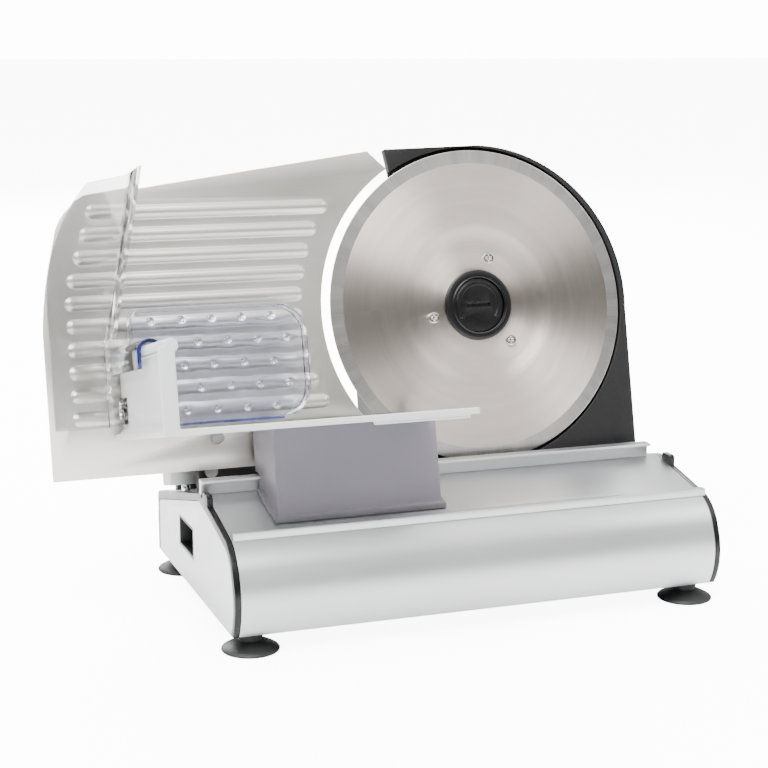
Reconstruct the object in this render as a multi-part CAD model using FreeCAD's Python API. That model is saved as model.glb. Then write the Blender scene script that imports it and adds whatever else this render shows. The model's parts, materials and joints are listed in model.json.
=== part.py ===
import FreeCAD, Part
import math
import os

# Domestic deli meat slicer.
#
# Two frames are used.  The base frame is level: X runs along the base, Y away from the
# operator, Z up, with its zero at the blade centre.  The head frame leans back about X by
# LEAN: x as before, y square to the blade and away from the operator, s up the blade.
# The blade, its housing, the thickness plate, the food carriage and the plate slide are
# drawn upright in the head frame and leaned as a last step.  All sizes are millimetres.

V = FreeCAD.Vector

# ---------------------------------------------------------------- driving dimensions
LEAN = 13.25                # lean of the cutting head, degrees
AXIS_HEIGHT = 171.0         # blade centre above the table
RUN = 0.08                  # radial clearance of a running fit
SLIDE = 0.6                 # clearance of plastic parts that slide on rails
GAP = 0.3                   # clearance between separate neighbours

# blade
BLADE_R = 95.0
BEVEL_W = 8.0
BLADE_T = 1.3
DISH_OUTER_R = 51.0
DISH_INNER_R = 39.0
DISH_DEPTH = 2.4
HUB_RING_R = 21.5
HUB_RING_WALL = 3.6
HUB_PROUD = 3.4
LOCK_T = 4.0
BLADE_SCREW_PCR = 30.0
BLADE_SCREW_R = 2.0
BLADE_SCREW_HEAD_R = 3.3

# drive
GEAR_R = 48.0
GEAR_TEETH = 60
GEAR_BACK = 38.0
GEAR_FACE = 13.0
GEAR_FLANGE_R = 37.0
GEAR_HUB_R = 13.0
SPINDLE_R = 5.0
BUSH_WALL = 2.0
WORM_R = 8.5
WORM_GAP = 0.6
WORM_L = 32.0
MOTOR_R = 22.0
MOTOR_L = 52.0
MOTOR_X = 29.0
SHAFT_R = 3.0
ROTOR_R = 12.5
FAN_R = 14.0

# housing
RIM_FRONT = 2.6
PANEL_FRONT = 5.6
SHELL_WALL = 3.0
SHELL_SPLIT = 36.0
COVER_BACK = 76.0
COVER_INSET = 1.5
COVER_ROUND = 12.0
BLADE_CLEAR = 2.0
HOUSING_RIGHT = 101.0
HOUSING_LEFT = -62.0
HOUSING_TOP = 3.4             # housing above the blade's edge at the top
FRONT_LOBE_R = 78.0           # round left side of the front shell
COVER_LOBE_R = 66.0           # the same of the rear shell

# base
BASE_LEFT = -183.2
BASE_RIGHT = 114.3
BASE_FRONT = -102.5
BASE_BACK = 83.0
FOOT_H = 11.7
CAP_T = 3.5
BASE_WALL = 2.2
RIDGE_Y = -26.0             # foot of the rear deck, just behind the rear rail
DECK_S = -99.3              # rear deck, a plane of the head frame
TAB_H = 2.8
TAB_FRONT = -44.5
TRACK_FRONT = -83.0
TRACK_DROP = 12.0           # drop of the track from the ridge to its front edge
LIP_BACK = 14.0             # return flange under the base

# rails
REAR_RAIL_Y = -29.0
REAR_RAIL_T = 2.4
REAR_RAIL_H = 9.1
REAR_LIP_W = 6.5
REAR_LIP_T = 1.8
REAR_RAIL_END = 11.0        # rear rail stops short of the right end
FRONT_RAIL_W = 5.0
FRONT_RAIL_H = 3.6

# feet
CUP_R = 16.3
CUP_H = 5.0
NECK_R = 8.0
FOOT_X = 13.2               # foot axis in from each end of the base
FOOT_FRONT_IN = 18.0
FOOT_BACK_IN = 12.0

# thickness plate
PLATE_T = 2.5
RIB_H = 1.8
RIB_W = 8.0
RIB_PITCH = 12.8
RIB_COUNT = 10
RIB_TOP_S = 63.6
RIB_END_R = 112.0
PLATE_GAP = 5.0
PLATE_LEFT = -264.3
PLATE_BOTTOM = -86.5
PLATE_HOLE_R = 4.0

# plate slide
ROD_R = 4.0
ROD_S = -88.0
ROD_X = (-168.0, -122.0)
SCREW_X = -145.0
SCREW_S = -78.5
SCREW_R = 6.0
FRONT_BLOCK_Y = 25.0
BLOCK_T = 8.0
SLIDER_Y = 40.0
SLIDER_T = 20.0
REAR_BLOCK_Y = 82.0
KNOB_R = 18.0
KNOB_T = 15.0

# food carriage
TRAY_S = -62.3
TRAY_T = 3.4
TRAY_REAR = 2.6             # distance of the tray's rear edge in front of the blade plane
TRAY_FRONT = 130.0
TRAY_LEFT = -228.5
TRAY_RIGHT = -57.5
WALL_X = -221.8             # centre of the end wall and of its rounded top
WALL_T = 3.6
WALL_TOP_R = 3.8
WALL_H = 45.8
FOOT_LEFT = -149.0
FOOT_RIGHT = -51.4
FOOT_FACE = 45.0
FOOT_WALL = 2.6
FOOT_FLANGE = 2.4

# pusher and guard
PUSH_RIGHT = -115.5
PUSH_H = 67.0
PUSH_T = 2.4
PUSH_RIM = 10.0
PUSH_CORNER = 19.0
PUSH_LIFT = 2.2
PUSH_NEAR = 6.0             # pusher face in front of the blade plane at rest
SADDLE_L = 74.0
SADDLE_T = 2.2
SADDLE_GAP = 1.0
SADDLE_DROP = 9.0
GUARD_T = 2.2
GUARD_FLANGE = 29.0
GUARD_LEFT = -262.0

LEAN_RAD = math.radians(LEAN)
SIN = math.sin(LEAN_RAD)
COS = math.cos(LEAN_RAD)
BASE_BOTTOM = FOOT_H - AXIS_HEIGHT


# ---------------------------------------------------------------- small helpers
def box(x0, x1, y0, y1, z0, z1):
    """Box between two corners."""
    return Part.makeBox(x1 - x0, y1 - y0, z1 - z0, V(x0, y0, z0))


def cyl_y(r, y0, y1, x=0.0, z=0.0):
    """Cylinder along Y between two planes."""
    return Part.makeCylinder(r, y1 - y0, V(x, y0, z), V(0, 1, 0))


def cyl_x(r, x0, x1, y=0.0, z=0.0):
    """Cylinder along X between two planes."""
    return Part.makeCylinder(r, x1 - x0, V(x0, y, z), V(1, 0, 0))


def cyl_z(r, z0, z1, x=0.0, y=0.0):
    """Cylinder along Z between two planes."""
    return Part.makeCylinder(r, z1 - z0, V(x, y, z0), V(0, 0, 1))


def ring_y(r_out, r_in, y0, y1, x=0.0, z=0.0):
    """Tube along Y between two planes."""
    return cyl_y(r_out, y0, y1, x, z).cut(cyl_y(r_in, y0 - 1, y1 + 1, x, z))


def ring_x(r_out, r_in, x0, x1, y=0.0, z=0.0):
    """Tube along X between two planes."""
    return cyl_x(r_out, x0, x1, y, z).cut(cyl_x(r_in, x0 - 1, x1 + 1, y, z))


def face_of(edges):
    """Flat face inside a closed run of edges."""
    return Part.Face(Part.Wire(Part.__sortEdges__(edges)))


def line(a, b):
    """Straight edge."""
    return Part.LineSegment(a, b).toShape()


def arc(a, b, c):
    """Arc through three points."""
    return Part.Arc(a, b, c).toShape()


def polygon(points):
    """Flat face with straight sides."""
    return Part.Face(Part.makePolygon(points + [points[0]]))


def group(shapes):
    """Separate solids that share a node."""
    return Part.Compound(shapes)


def cross_recess(r, depth, x, y, z, size=0.5):
    """Cross-shaped driver recess cut into a screw head that faces -Y."""
    long_arm = box(x - r, x + r, y, y + depth, z - size, z + size)
    tall_arm = box(x - size, x + size, y, y + depth, z - r, z + r)
    return long_arm.fuse(tall_arm)


def polar(r, degrees):
    """Point on a circle round the blade axis, in the head frame."""
    a = math.radians(degrees)
    return r * math.cos(a), r * math.sin(a)


def lean(shape):
    """Turn a head-frame shape into the level frame."""
    leaned = shape.copy()
    leaned.rotate(V(0, 0, 0), V(1, 0, 0), -LEAN)
    return leaned


def deck_z(y):
    """Height of the rear deck at a level-frame Y."""
    return (DECK_S - y * SIN) / COS


HEAD = {}                   # nodes drawn in the head frame
LEVEL = {}                  # nodes drawn in the level frame


# ---------------------------------------------------------------- blade set
def blade():
    """Dished disc with a ground bevel, a centre hole and three screw holes."""
    r_in = HUB_RING_R - HUB_RING_WALL
    dish = DISH_DEPTH
    profile = polygon([
        V(r_in, dish, 0), V(DISH_INNER_R, dish, 0), V(DISH_OUTER_R, 0.5, 0),
        V(BLADE_R - BEVEL_W, 0.2, 0), V(BLADE_R, BLADE_T - 0.3, 0), V(BLADE_R, BLADE_T, 0),
        V(DISH_OUTER_R, BLADE_T + 0.5, 0), V(DISH_INNER_R, dish + BLADE_T, 0),
        V(r_in, dish + BLADE_T, 0)])
    disc = profile.revolve(V(0, 0, 0), V(0, 1, 0), 360)
    for turn in BLADE_SCREW_TURNS:
        x, s = polar(BLADE_SCREW_PCR, turn)
        disc = disc.cut(cyl_y(BLADE_SCREW_R + 0.2, -5, 10, x, s))
    return disc


BLADE_SCREW_TURNS = (72.0, 192.0, 312.0)
BLADE_BACK = DISH_DEPTH + BLADE_T
FLANGE_T = 5.0
HUB_FRONT = DISH_DEPTH - HUB_PROUD


def blade_screws():
    """Three cross-head screws through the blade into the gear flange."""
    solids = []
    for turn in BLADE_SCREW_TURNS:
        x, s = polar(BLADE_SCREW_PCR, turn)
        head = cyl_y(BLADE_SCREW_HEAD_R, DISH_DEPTH - 1.5, DISH_DEPTH, x, s)
        shank = cyl_y(BLADE_SCREW_R, DISH_DEPTH, BLADE_BACK + FLANGE_T - 0.5, x, s)
        recess = cross_recess(BLADE_SCREW_HEAD_R * 0.6, 0.9, x, DISH_DEPTH - 1.5, s)
        solids.append(head.fuse(shank).cut(recess))
    return group(solids)


def drive_gear():
    """Nylon worm wheel: a front flange for the blade, a neck and a toothed rim."""
    flange = cyl_y(GEAR_FLANGE_R, BLADE_BACK, BLADE_BACK + FLANGE_T)
    neck = cyl_y(NECK_GEAR_R, BLADE_BACK + FLANGE_T, GEAR_BACK - GEAR_FACE)
    rim = cyl_y(GEAR_R - 1.2, GEAR_BACK - GEAR_FACE, GEAR_BACK)
    gear = flange.fuse(neck).fuse(rim)
    pocket = ring_y(GEAR_R - 7, GEAR_HUB_R + 7, GEAR_BACK - GEAR_FACE + 4, GEAR_BACK + 1)
    gear = gear.cut(pocket)
    root = GEAR_R - 1.8
    half = math.pi * GEAR_R / GEAR_TEETH / 2.2
    teeth = []
    for i in range(GEAR_TEETH):
        tooth = box(root, GEAR_R, GEAR_BACK - GEAR_FACE, GEAR_BACK, -half, half)
        tooth.rotate(V(0, 0, 0), V(0, 1, 0), i * 360.0 / GEAR_TEETH)
        teeth.append(tooth)
    gear = gear.fuse(teeth)
    gear = gear.cut(cyl_y(SPINDLE_R + BUSH_WALL, -1, GEAR_BACK + 1))
    gear = gear.cut(cyl_y(HUB_RING_R - HUB_RING_WALL, -1, BLADE_BACK + 2.5))
    for turn in BLADE_SCREW_TURNS:
        x, s = polar(BLADE_SCREW_PCR, turn)
        gear = gear.cut(cyl_y(BLADE_SCREW_R, BLADE_BACK - 1, BLADE_BACK + FLANGE_T - 0.5, x, s))
    return gear


NECK_GEAR_R = 24.0


def hub_ring():
    """Black ring pressed into the blade's centre, proud of the dish."""
    flange = ring_y(HUB_RING_R, LOCK_R + RUN, HUB_FRONT, DISH_DEPTH)
    sleeve = ring_y(HUB_RING_R - HUB_RING_WALL, LOCK_R + RUN, DISH_DEPTH, BLADE_BACK + 2.5)
    ring = flange.fuse(sleeve)
    for sign in (-1, 1):
        ring = ring.cut(box(-1.2, 1.2, HUB_FRONT - 1, HUB_FRONT + 1, sign * (HUB_RING_R - 2.6) - 1,
            sign * (HUB_RING_R - 2.6) + 1))
    return ring


LOCK_R = HUB_RING_R - HUB_RING_WALL - 1.6


def blade_lock():
    """Turning lock in the hub, with a raised lip and a coin slot."""
    disc = cyl_y(LOCK_R, HUB_FRONT + 1.2, HUB_FRONT + 1.2 + LOCK_T)
    lip = ring_y(LOCK_R - 1.5, LOCK_R - 4.0, HUB_FRONT + 0.2, HUB_FRONT + 1.2)
    lip = lip.cut(box(-LOCK_R, LOCK_R, HUB_FRONT - 1, HUB_FRONT + 3, -LOCK_R, -LOCK_R * 0.45))
    lock = disc.fuse(lip)
    lock = lock.cut(box(-7.5, 7.5, HUB_FRONT - 1, HUB_FRONT + 3.4, -1.5, 1.5))
    return lock


def spindle():
    """Fixed steel spindle, shouldered on the housing's rear bearer."""
    pin = cyl_y(SPINDLE_R, HUB_FRONT + 1.2 + LOCK_T + GAP, SPINDLE_BACK)
    collar = ring_y(GEAR_HUB_R, SPINDLE_R - 0.5, GEAR_BACK + GAP, GEAR_BACK + 2.5)
    return pin.fuse(collar)


SPINDLE_BACK = GEAR_BACK + 12.0


def spindle_bush():
    """Bronze bush pressed into the gear and running on the spindle."""
    return ring_y(SPINDLE_R + BUSH_WALL, SPINDLE_R + RUN, BLADE_BACK + 3.0, GEAR_BACK)


HEAD["blade"] = blade()
HEAD["blade_screws"] = blade_screws()
HEAD["drive_gear"] = drive_gear()
HEAD["hub_ring"] = hub_ring()
HEAD["blade_lock"] = blade_lock()
HEAD["spindle"] = spindle()
HEAD["spindle_bush"] = spindle_bush()


# ---------------------------------------------------------------- motor
MOTOR_Y = GEAR_BACK - GEAR_FACE / 2
MOTOR_S = -(GEAR_R + WORM_R + WORM_GAP)
MOTOR_END = MOTOR_X + MOTOR_L
SHAFT_START = -WORM_L / 2 - 12.0
BEARING_R = 7.0
BEARING_T = 6.0
PLATE_END_T = 3.0


def worm():
    """Steel worm: a core with rings that stand in for the helical thread."""
    half = WORM_L / 2
    core = ring_x(WORM_R - 1.8, SHAFT_R, -half, half, MOTOR_Y, MOTOR_S)
    pitch = 2 * math.pi * GEAR_R / GEAR_TEETH
    threads = []
    count = int(WORM_L / pitch)
    for i in range(count):
        x = (i - (count - 1) / 2) * pitch
        threads.append(ring_x(WORM_R, WORM_R - 2.2, x - 1.0, x + 1.0, MOTOR_Y, MOTOR_S))
    return core.fuse(threads)


def armature():
    """Laminated armature with a commutator, pressed on the shaft."""
    core = ring_x(ROTOR_R, SHAFT_R, MOTOR_X + 10, MOTOR_END - 16, MOTOR_Y, MOTOR_S)
    for i in range(12):
        slot = box(MOTOR_X + 9, MOTOR_END - 15, MOTOR_Y - 0.8, MOTOR_Y + 0.8, MOTOR_S + ROTOR_R - 3,
            MOTOR_S + ROTOR_R + 1)
        slot.rotate(V(0, MOTOR_Y, MOTOR_S), V(1, 0, 0), i * 30)
        core = core.cut(slot)
    commutator = ring_x(ROTOR_R * 0.55, SHAFT_R, MOTOR_END - 13, MOTOR_END - 4, MOTOR_Y, MOTOR_S)
    return group([core, commutator])


def stator():
    """Laminated field ring, square outside with rounded corners."""
    body = box(MOTOR_X + 10, MOTOR_END - 16, MOTOR_Y - MOTOR_R, MOTOR_Y + MOTOR_R, MOTOR_S - MOTOR_R,
        MOTOR_S + MOTOR_R)
    edges = [e for e in body.Edges if abs(e.Vertexes[0].X - e.Vertexes[-1].X) > 5]
    body = body.makeFillet(9.0, edges)
    body = body.cut(cyl_x(ROTOR_R + 0.8, MOTOR_X, MOTOR_END, MOTOR_Y, MOTOR_S))
    for sign in (-1, 1):
        body = body.cut(box(MOTOR_X, MOTOR_END, MOTOR_Y - 7, MOTOR_Y + 7, MOTOR_S + sign * 15.5 - 3.5,
            MOTOR_S + sign * 15.5 + 3.5))
    return body


def field_coils():
    """Two copper field windings through the stator's windows."""
    coils = []
    for sign in (-1, 1):
        outer = box(MOTOR_X + 5.5, MOTOR_END - 12.5, MOTOR_Y - 6.5, MOTOR_Y + 6.5,
            MOTOR_S + sign * 15.5 - 2.4, MOTOR_S + sign * 15.5 + 2.4)
        coils.append(outer)
    return group(coils)


def end_bracket(x0):
    """Steel plate with a bearing seat that carries one end of the motor shaft."""
    plate = box(x0, x0 + PLATE_END_T, MOTOR_Y - MOTOR_R, MOTOR_Y + MOTOR_R, MOTOR_S - MOTOR_R,
        MOTOR_S + MOTOR_R)
    seat = ring_x(BEARING_R + 2, BEARING_R, x0, x0 + BEARING_T, MOTOR_Y, MOTOR_S)
    plate = plate.cut(cyl_x(BEARING_R, x0 - 1, x0 + BEARING_T + 1, MOTOR_Y, MOTOR_S))
    return plate.fuse(seat)


def worm_pillow():
    """Block that holds the bearing at the worm's free end."""
    x0 = SHAFT_START + 2
    block = box(x0, x0 + BEARING_T, PANEL_FRONT + SHELL_WALL, MOTOR_Y + BEARING_R + 4,
        MOTOR_S - BEARING_R - 4, MOTOR_S + BEARING_R + 4)
    return block.cut(cyl_x(BEARING_R, x0 - 1, x0 + BEARING_T + 1, MOTOR_Y, MOTOR_S))


def brushes():
    """Two carbon brushes on the commutator."""
    solids = []
    radius = ROTOR_R * 0.55
    for sign in (-1, 1):
        near = MOTOR_Y + sign * (radius + 0.1)
        far = MOTOR_Y + sign * (radius + 9.0)
        solids.append(box(MOTOR_END - 11, MOTOR_END - 6, min(near, far), max(near, far), MOTOR_S - 2.5,
            MOTOR_S + 2.5))
    return group(solids)


def cooling_fan():
    """Radial fan on the outer end of the motor shaft."""
    x0 = MOTOR_END + BEARING_T + 1.5
    disc = ring_x(FAN_R, SHAFT_R, x0, x0 + 1.6, MOTOR_Y, MOTOR_S)
    hub = ring_x(SHAFT_R + 2.5, SHAFT_R, x0, x0 + 6, MOTOR_Y, MOTOR_S)
    fan = disc.fuse(hub)
    for i in range(10):
        vane = box(x0, x0 + 6, MOTOR_Y - 0.7, MOTOR_Y + 0.7, MOTOR_S + SHAFT_R + 1, MOTOR_S + FAN_R)
        vane.rotate(V(0, MOTOR_Y, MOTOR_S), V(1, 0, 0), i * 36)
        fan = fan.fuse(vane)
    return fan


FAN_END = MOTOR_END + BEARING_T + 1.5 + 6
HEAD["worm"] = worm()
HEAD["armature"] = armature()
HEAD["motor_shaft"] = cyl_x(SHAFT_R, SHAFT_START, FAN_END, MOTOR_Y, MOTOR_S)
HEAD["stator"] = stator()
HEAD["field_coils"] = field_coils()
HEAD["inner_bracket"] = end_bracket(MOTOR_X).cut(cyl_y(GEAR_R + 2.0, 0.0, GEAR_BACK + 3.0))
HEAD["outer_bracket"] = end_bracket(MOTOR_END)
HEAD["motor_bearings"] = group([
    ring_x(BEARING_R, SHAFT_R + RUN, MOTOR_X, MOTOR_X + BEARING_T, MOTOR_Y, MOTOR_S),
    ring_x(BEARING_R, SHAFT_R + RUN, MOTOR_END, MOTOR_END + BEARING_T, MOTOR_Y, MOTOR_S),
    ring_x(BEARING_R, SHAFT_R + RUN, SHAFT_START + 2, SHAFT_START + 2 + BEARING_T, MOTOR_Y, MOTOR_S)])
HEAD["worm_pillow"] = worm_pillow()
HEAD["brushes"] = brushes()
HEAD["cooling_fan"] = cooling_fan()


# ---------------------------------------------------------------- housing
def outline(inset, y, bottom, lobe_r, tip):
    """Closed outline of the housing at depth y; the rim plate has a pointed tip."""
    right = HOUSING_RIGHT - inset
    left = HOUSING_LEFT + inset
    top = BLADE_R + HOUSING_TOP - inset
    lobe = lobe_r - inset
    tip_x = -53.0 + inset
    tip_low = -47.0 + inset
    a = V(left, y, bottom)
    b = V(left, y, -math.sqrt(lobe * lobe - left * left))
    c = V(-lobe, y, 0)
    d = V(tip_low, y, math.sqrt(lobe * lobe - tip_low * tip_low))
    e = V(tip_x, y, 97.0 - inset)
    f = V(-34.0, y, top - 1.0)
    g = V(9.0, y, top)
    h = V(54.0 - inset * 0.6, y, 84.2 - inset * 0.8)
    k = V(87.9 - inset * 0.9, y, 49.7 - inset * 0.5)
    m = V(right - 4.4, y, 30.0)
    n = V(right, y, -6.0)
    p = V(right, y, bottom)
    crown = [line(d, e), line(e, f), line(f, g)]
    if not tip:
        d = V(-lobe * 0.7, y, lobe * math.sqrt(1 - 0.7 * 0.7))
        crown = [arc(d, V(-24.0 + inset * 0.7, y, 82.0 - inset * 0.7), g)]
    right_side = [arc(g, h, k), arc(k, m, n), line(n, p), line(p, a)]
    return Part.Face(Part.Wire([line(a, b), arc(b, c, d)] + crown + right_side))


def prism(inset, y0, y1, bottom, lobe_r, tip=False):
    """Housing outline carried from y0 to y1."""
    return outline(inset, y0, bottom, lobe_r, tip).extrude(V(0, y1 - y0, 0))


def gear_housing():
    """Black front shell: rim round the blade, front panel with a bore, open back."""
    rim_r = BLADE_R + BLADE_CLEAR
    inside = PANEL_FRONT + SHELL_WALL
    shell = prism(0.0, RIM_FRONT, SHELL_SPLIT, DECK_S, FRONT_LOBE_R)
    shell = shell.fuse(prism(0.0, RIM_FRONT, inside, DECK_S, FRONT_LOBE_R, tip=True))
    floor = DECK_S + SHELL_WALL
    shell = shell.cut(prism(SHELL_WALL, inside, SHELL_SPLIT + 1, floor, FRONT_LOBE_R))
    shell = shell.cut(cyl_y(rim_r, RIM_FRONT - 1, PANEL_FRONT))
    shell = shell.cut(cyl_y(GEAR_FLANGE_R + 1.5, RIM_FRONT, PANEL_FRONT + SHELL_WALL + 1))
    for x, s in BOSSES:
        shell = shell.fuse(cyl_y(5.0, PANEL_FRONT + 1, SHELL_SPLIT, x, s))
        shell = shell.cut(cyl_y(1.6, SHELL_SPLIT - 16, SHELL_SPLIT + 1, x, s))
    return shell


BOSSES = [(-50.0, -78.0), (92.5, -86.0), (-22.0, 66.0), (62.0, 63.0)]


def motor_cover():
    """Black rear shell with a rounded back edge, cooling slots and a bearer inside."""
    front = SHELL_SPLIT
    outer = prism(COVER_INSET, front, COVER_BACK, DECK_S, COVER_LOBE_R)
    rounded = []
    for e in outer.Edges:
        back = all(abs(v.Y - COVER_BACK) < 0.01 for v in e.Vertexes)
        low = all(abs(v.Z - DECK_S) < 0.01 for v in e.Vertexes)
        if back and not low:
            rounded.append(e)
    outer = outer.makeFillet(COVER_ROUND, rounded)
    floor = DECK_S + SHELL_WALL
    knee = COVER_BACK - COVER_ROUND + SHELL_WALL
    room = prism(COVER_INSET + SHELL_WALL, front - 1, knee, floor, COVER_LOBE_R)
    shell = outer.cut(room)
    rear_room = prism(COVER_INSET + 7.0, front - 1, COVER_BACK - SHELL_WALL, floor, COVER_LOBE_R)
    shell = shell.cut(rear_room)
    for i in range(9):
        s = -58.0 + i * 8.0
        shell = shell.cut(box(5.0, 75.0, COVER_BACK - SHELL_WALL - 1, COVER_BACK + 1, s, s + 3.2))
    for x, s in BOSSES:
        shell = shell.fuse(cyl_y(5.0, front, COVER_BACK - SHELL_WALL + 0.5, x, s))
        shell = shell.cut(cyl_y(2.0, front - 1, COVER_BACK + 1, x, s))
        shell = shell.cut(cyl_y(3.6, COVER_BACK - 4, COVER_BACK + 1, x, s))
    return shell


def gearbox_bearer():
    """Cast web that holds the spindle, inside the shells behind the drive gear."""
    y0 = GEAR_BACK + 2.5
    bar = box(-56.0, HOUSING_RIGHT - COVER_INSET - SHELL_WALL, y0, y0 + 6, -9, 0)
    hub = cyl_y(GEAR_HUB_R, y0, SPINDLE_BACK)
    return bar.fuse(hub).cut(cyl_y(SPINDLE_R, y0 - 1, SPINDLE_BACK + 1))


def housing_screws():
    """Four long screws from the back of the cover into the front shell."""
    solids = []
    for x, s in BOSSES:
        head = cyl_y(3.2, COVER_BACK - 4, COVER_BACK - 1.6, x, s)
        shank = cyl_y(1.6, SHELL_SPLIT - 14, COVER_BACK - 4, x, s)
        slot = cross_recess(2.0, 1.2, x, COVER_BACK - 2.8, s)
        solids.append(head.fuse(shank).cut(slot))
    return group(solids)


HEAD["gear_housing"] = gear_housing()
HEAD["motor_cover"] = motor_cover()
HEAD["spindle_bearer"] = gearbox_bearer()
HEAD["housing_screws"] = housing_screws()


# ---------------------------------------------------------------- base
def base_points(inset, x):
    """Points of the base's section, moved inwards by inset."""
    front = BASE_FRONT + inset
    back = BASE_BACK - inset
    low = BASE_BOTTOM
    ridge = deck_z(RIDGE_Y) - inset
    track_end = ridge - TRACK_DROP
    return {
        "shoulder": V(x, front + 8.2 - inset * 0.3, low + 43.6 - inset * 0.7),
        "front_low": V(x, front + 5.7, low), "front_belly": V(x, front, low + 22.0 + inset * 0.2),
        "front_roll": V(x, front + 3.2, low + 34.5 - inset * 0.3), "nose": V(x,
            TRACK_FRONT - 1.0 + inset * 0.4, track_end),
        "track_mid": V(x, (TRACK_FRONT + RIDGE_Y) / 2, ridge - TRACK_DROP * 0.46), "ridge": V(x, RIDGE_Y,
            ridge),
        "deck_end": V(x, back - 2.5, deck_z(BASE_BACK - 2.5) - inset), "back_top": V(x, back,
            deck_z(BASE_BACK - 2.5) - 2.5 - inset),
        "back_low": V(x, back, low)}


def base_section(inset, x):
    """Section of the base: bellied front, domed track, sloping rear deck."""
    p = base_points(inset, x)
    edges = [
        arc(p["front_low"], p["front_belly"], p["front_roll"]),
        arc(p["front_roll"], p["shoulder"], p["nose"]),
        arc(p["nose"], p["track_mid"], p["ridge"]),
        line(p["ridge"], p["deck_end"]), line(p["deck_end"], p["back_top"]),
        line(p["back_top"], p["back_low"]), line(p["back_low"], p["front_low"])]
    return Part.Face(Part.Wire(edges))


def base_prism(inset, x0, x1):
    """Base section carried from x0 to x1."""
    return base_section(inset, x0).extrude(V(x1 - x0, 0, 0))


COVER_T = 2.0
CAP_IN_LEFT = BASE_LEFT + CAP_T
CAP_IN_RIGHT = BASE_RIGHT - CAP_T


def base_extrusion():
    """Aluminium cover, open below between two return flanges."""
    shell = base_prism(0.0, CAP_IN_LEFT, CAP_IN_RIGHT)
    shell = shell.cut(base_prism(BASE_WALL, CAP_IN_LEFT - 1, CAP_IN_RIGHT + 1))
    flange_z = BASE_BOTTOM + COVER_T
    y0 = BASE_FRONT + 5.7 + BASE_WALL
    y1 = BASE_BACK - BASE_WALL
    front = box(CAP_IN_LEFT, CAP_IN_RIGHT, y0 - 1.5, y0 + LIP_BACK, flange_z, flange_z + BASE_WALL)
    back = box(CAP_IN_LEFT, CAP_IN_RIGHT, y1 - LIP_BACK, y1 + 0.5, flange_z, flange_z + BASE_WALL)
    shell = shell.fuse(front).fuse(back)
    for x, y in SCREW_PLACES:
        shell = shell.cut(cyl_z(1.6, flange_z - 1, flange_z + BASE_WALL + 1, x, y))
    for x, y in FOOT_PLACES:
        shell = shell.cut(cyl_z(FOOT_STUD_R + GAP, flange_z - 1, flange_z + BASE_WALL + 1, x, y))
    return shell.cut(cord_hole()).removeSplitter()


SCREW_PLACES = [(x, y) for x in (-140.0, -34.0, 72.0) for y in (BASE_FRONT + 16.0, BASE_BACK - 9.0)]
CORD_X = 70.0
CORD_Z = BASE_BOTTOM + 18.0
CORD_R = 6.5


def cord_hole():
    """Hole in the back of the base for the cord bush."""
    return cyl_y(CORD_R, BASE_BACK - 20, BASE_BACK + 5, CORD_X, CORD_Z)


def cord_bush():
    """Black strain-relief bush in the back of the base, with an empty bore."""
    flange = ring_y(CORD_R + 2.5, 3.6, BASE_BACK, BASE_BACK + 3, CORD_X, CORD_Z)
    sleeve = ring_y(CORD_R, 3.6, BASE_BACK - BASE_WALL - 4, BASE_BACK, CORD_X, CORD_Z)
    return flange.fuse(sleeve)


def bottom_cover():
    """Steel plate that closes the base from below, with louvres under the motor."""
    y0 = BASE_FRONT + 5.7 + BASE_WALL + GAP
    y1 = BASE_BACK - BASE_WALL - GAP
    plate = box(CAP_IN_LEFT + GAP, CAP_IN_RIGHT - GAP, y0, y1, BASE_BOTTOM, BASE_BOTTOM + COVER_T)
    for x, y in SCREW_PLACES:
        plate = plate.cut(cyl_z(1.8, BASE_BOTTOM - 1, BASE_BOTTOM + COVER_T + 1, x, y))
    for i in range(7):
        x = 10.0 + i * 9.0
        plate = plate.cut(box(x, x + 3.5, -30.0, 15.0, BASE_BOTTOM - 1, BASE_BOTTOM + COVER_T + 1))
    for x, y in FOOT_PLACES:
        plate = plate.cut(cyl_z(FOOT_STUD_R + 0.3, BASE_BOTTOM - 1, BASE_BOTTOM + COVER_T + 1, x, y))
    return plate


FOOT_STUD_R = 2.5
FOOT_PLACES = [(x, y) for x in (BASE_LEFT + FOOT_X,
    BASE_RIGHT - FOOT_X) for y in (BASE_FRONT + FOOT_FRONT_IN, BASE_BACK - FOOT_BACK_IN)]
FOOT_NAMES = ("front_left_foot", "rear_left_foot", "front_right_foot", "rear_right_foot")


def cover_screws():
    """Pan-head screws that hold the bottom cover to the flanges."""
    solids = []
    for x, y in SCREW_PLACES:
        head = cyl_z(3.0, BASE_BOTTOM - 1.6, BASE_BOTTOM, x, y)
        shank = cyl_z(1.6, BASE_BOTTOM, BASE_BOTTOM + COVER_T + BASE_WALL + 4, x, y)
        solids.append(head.fuse(shank))
    return group(solids)


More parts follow.
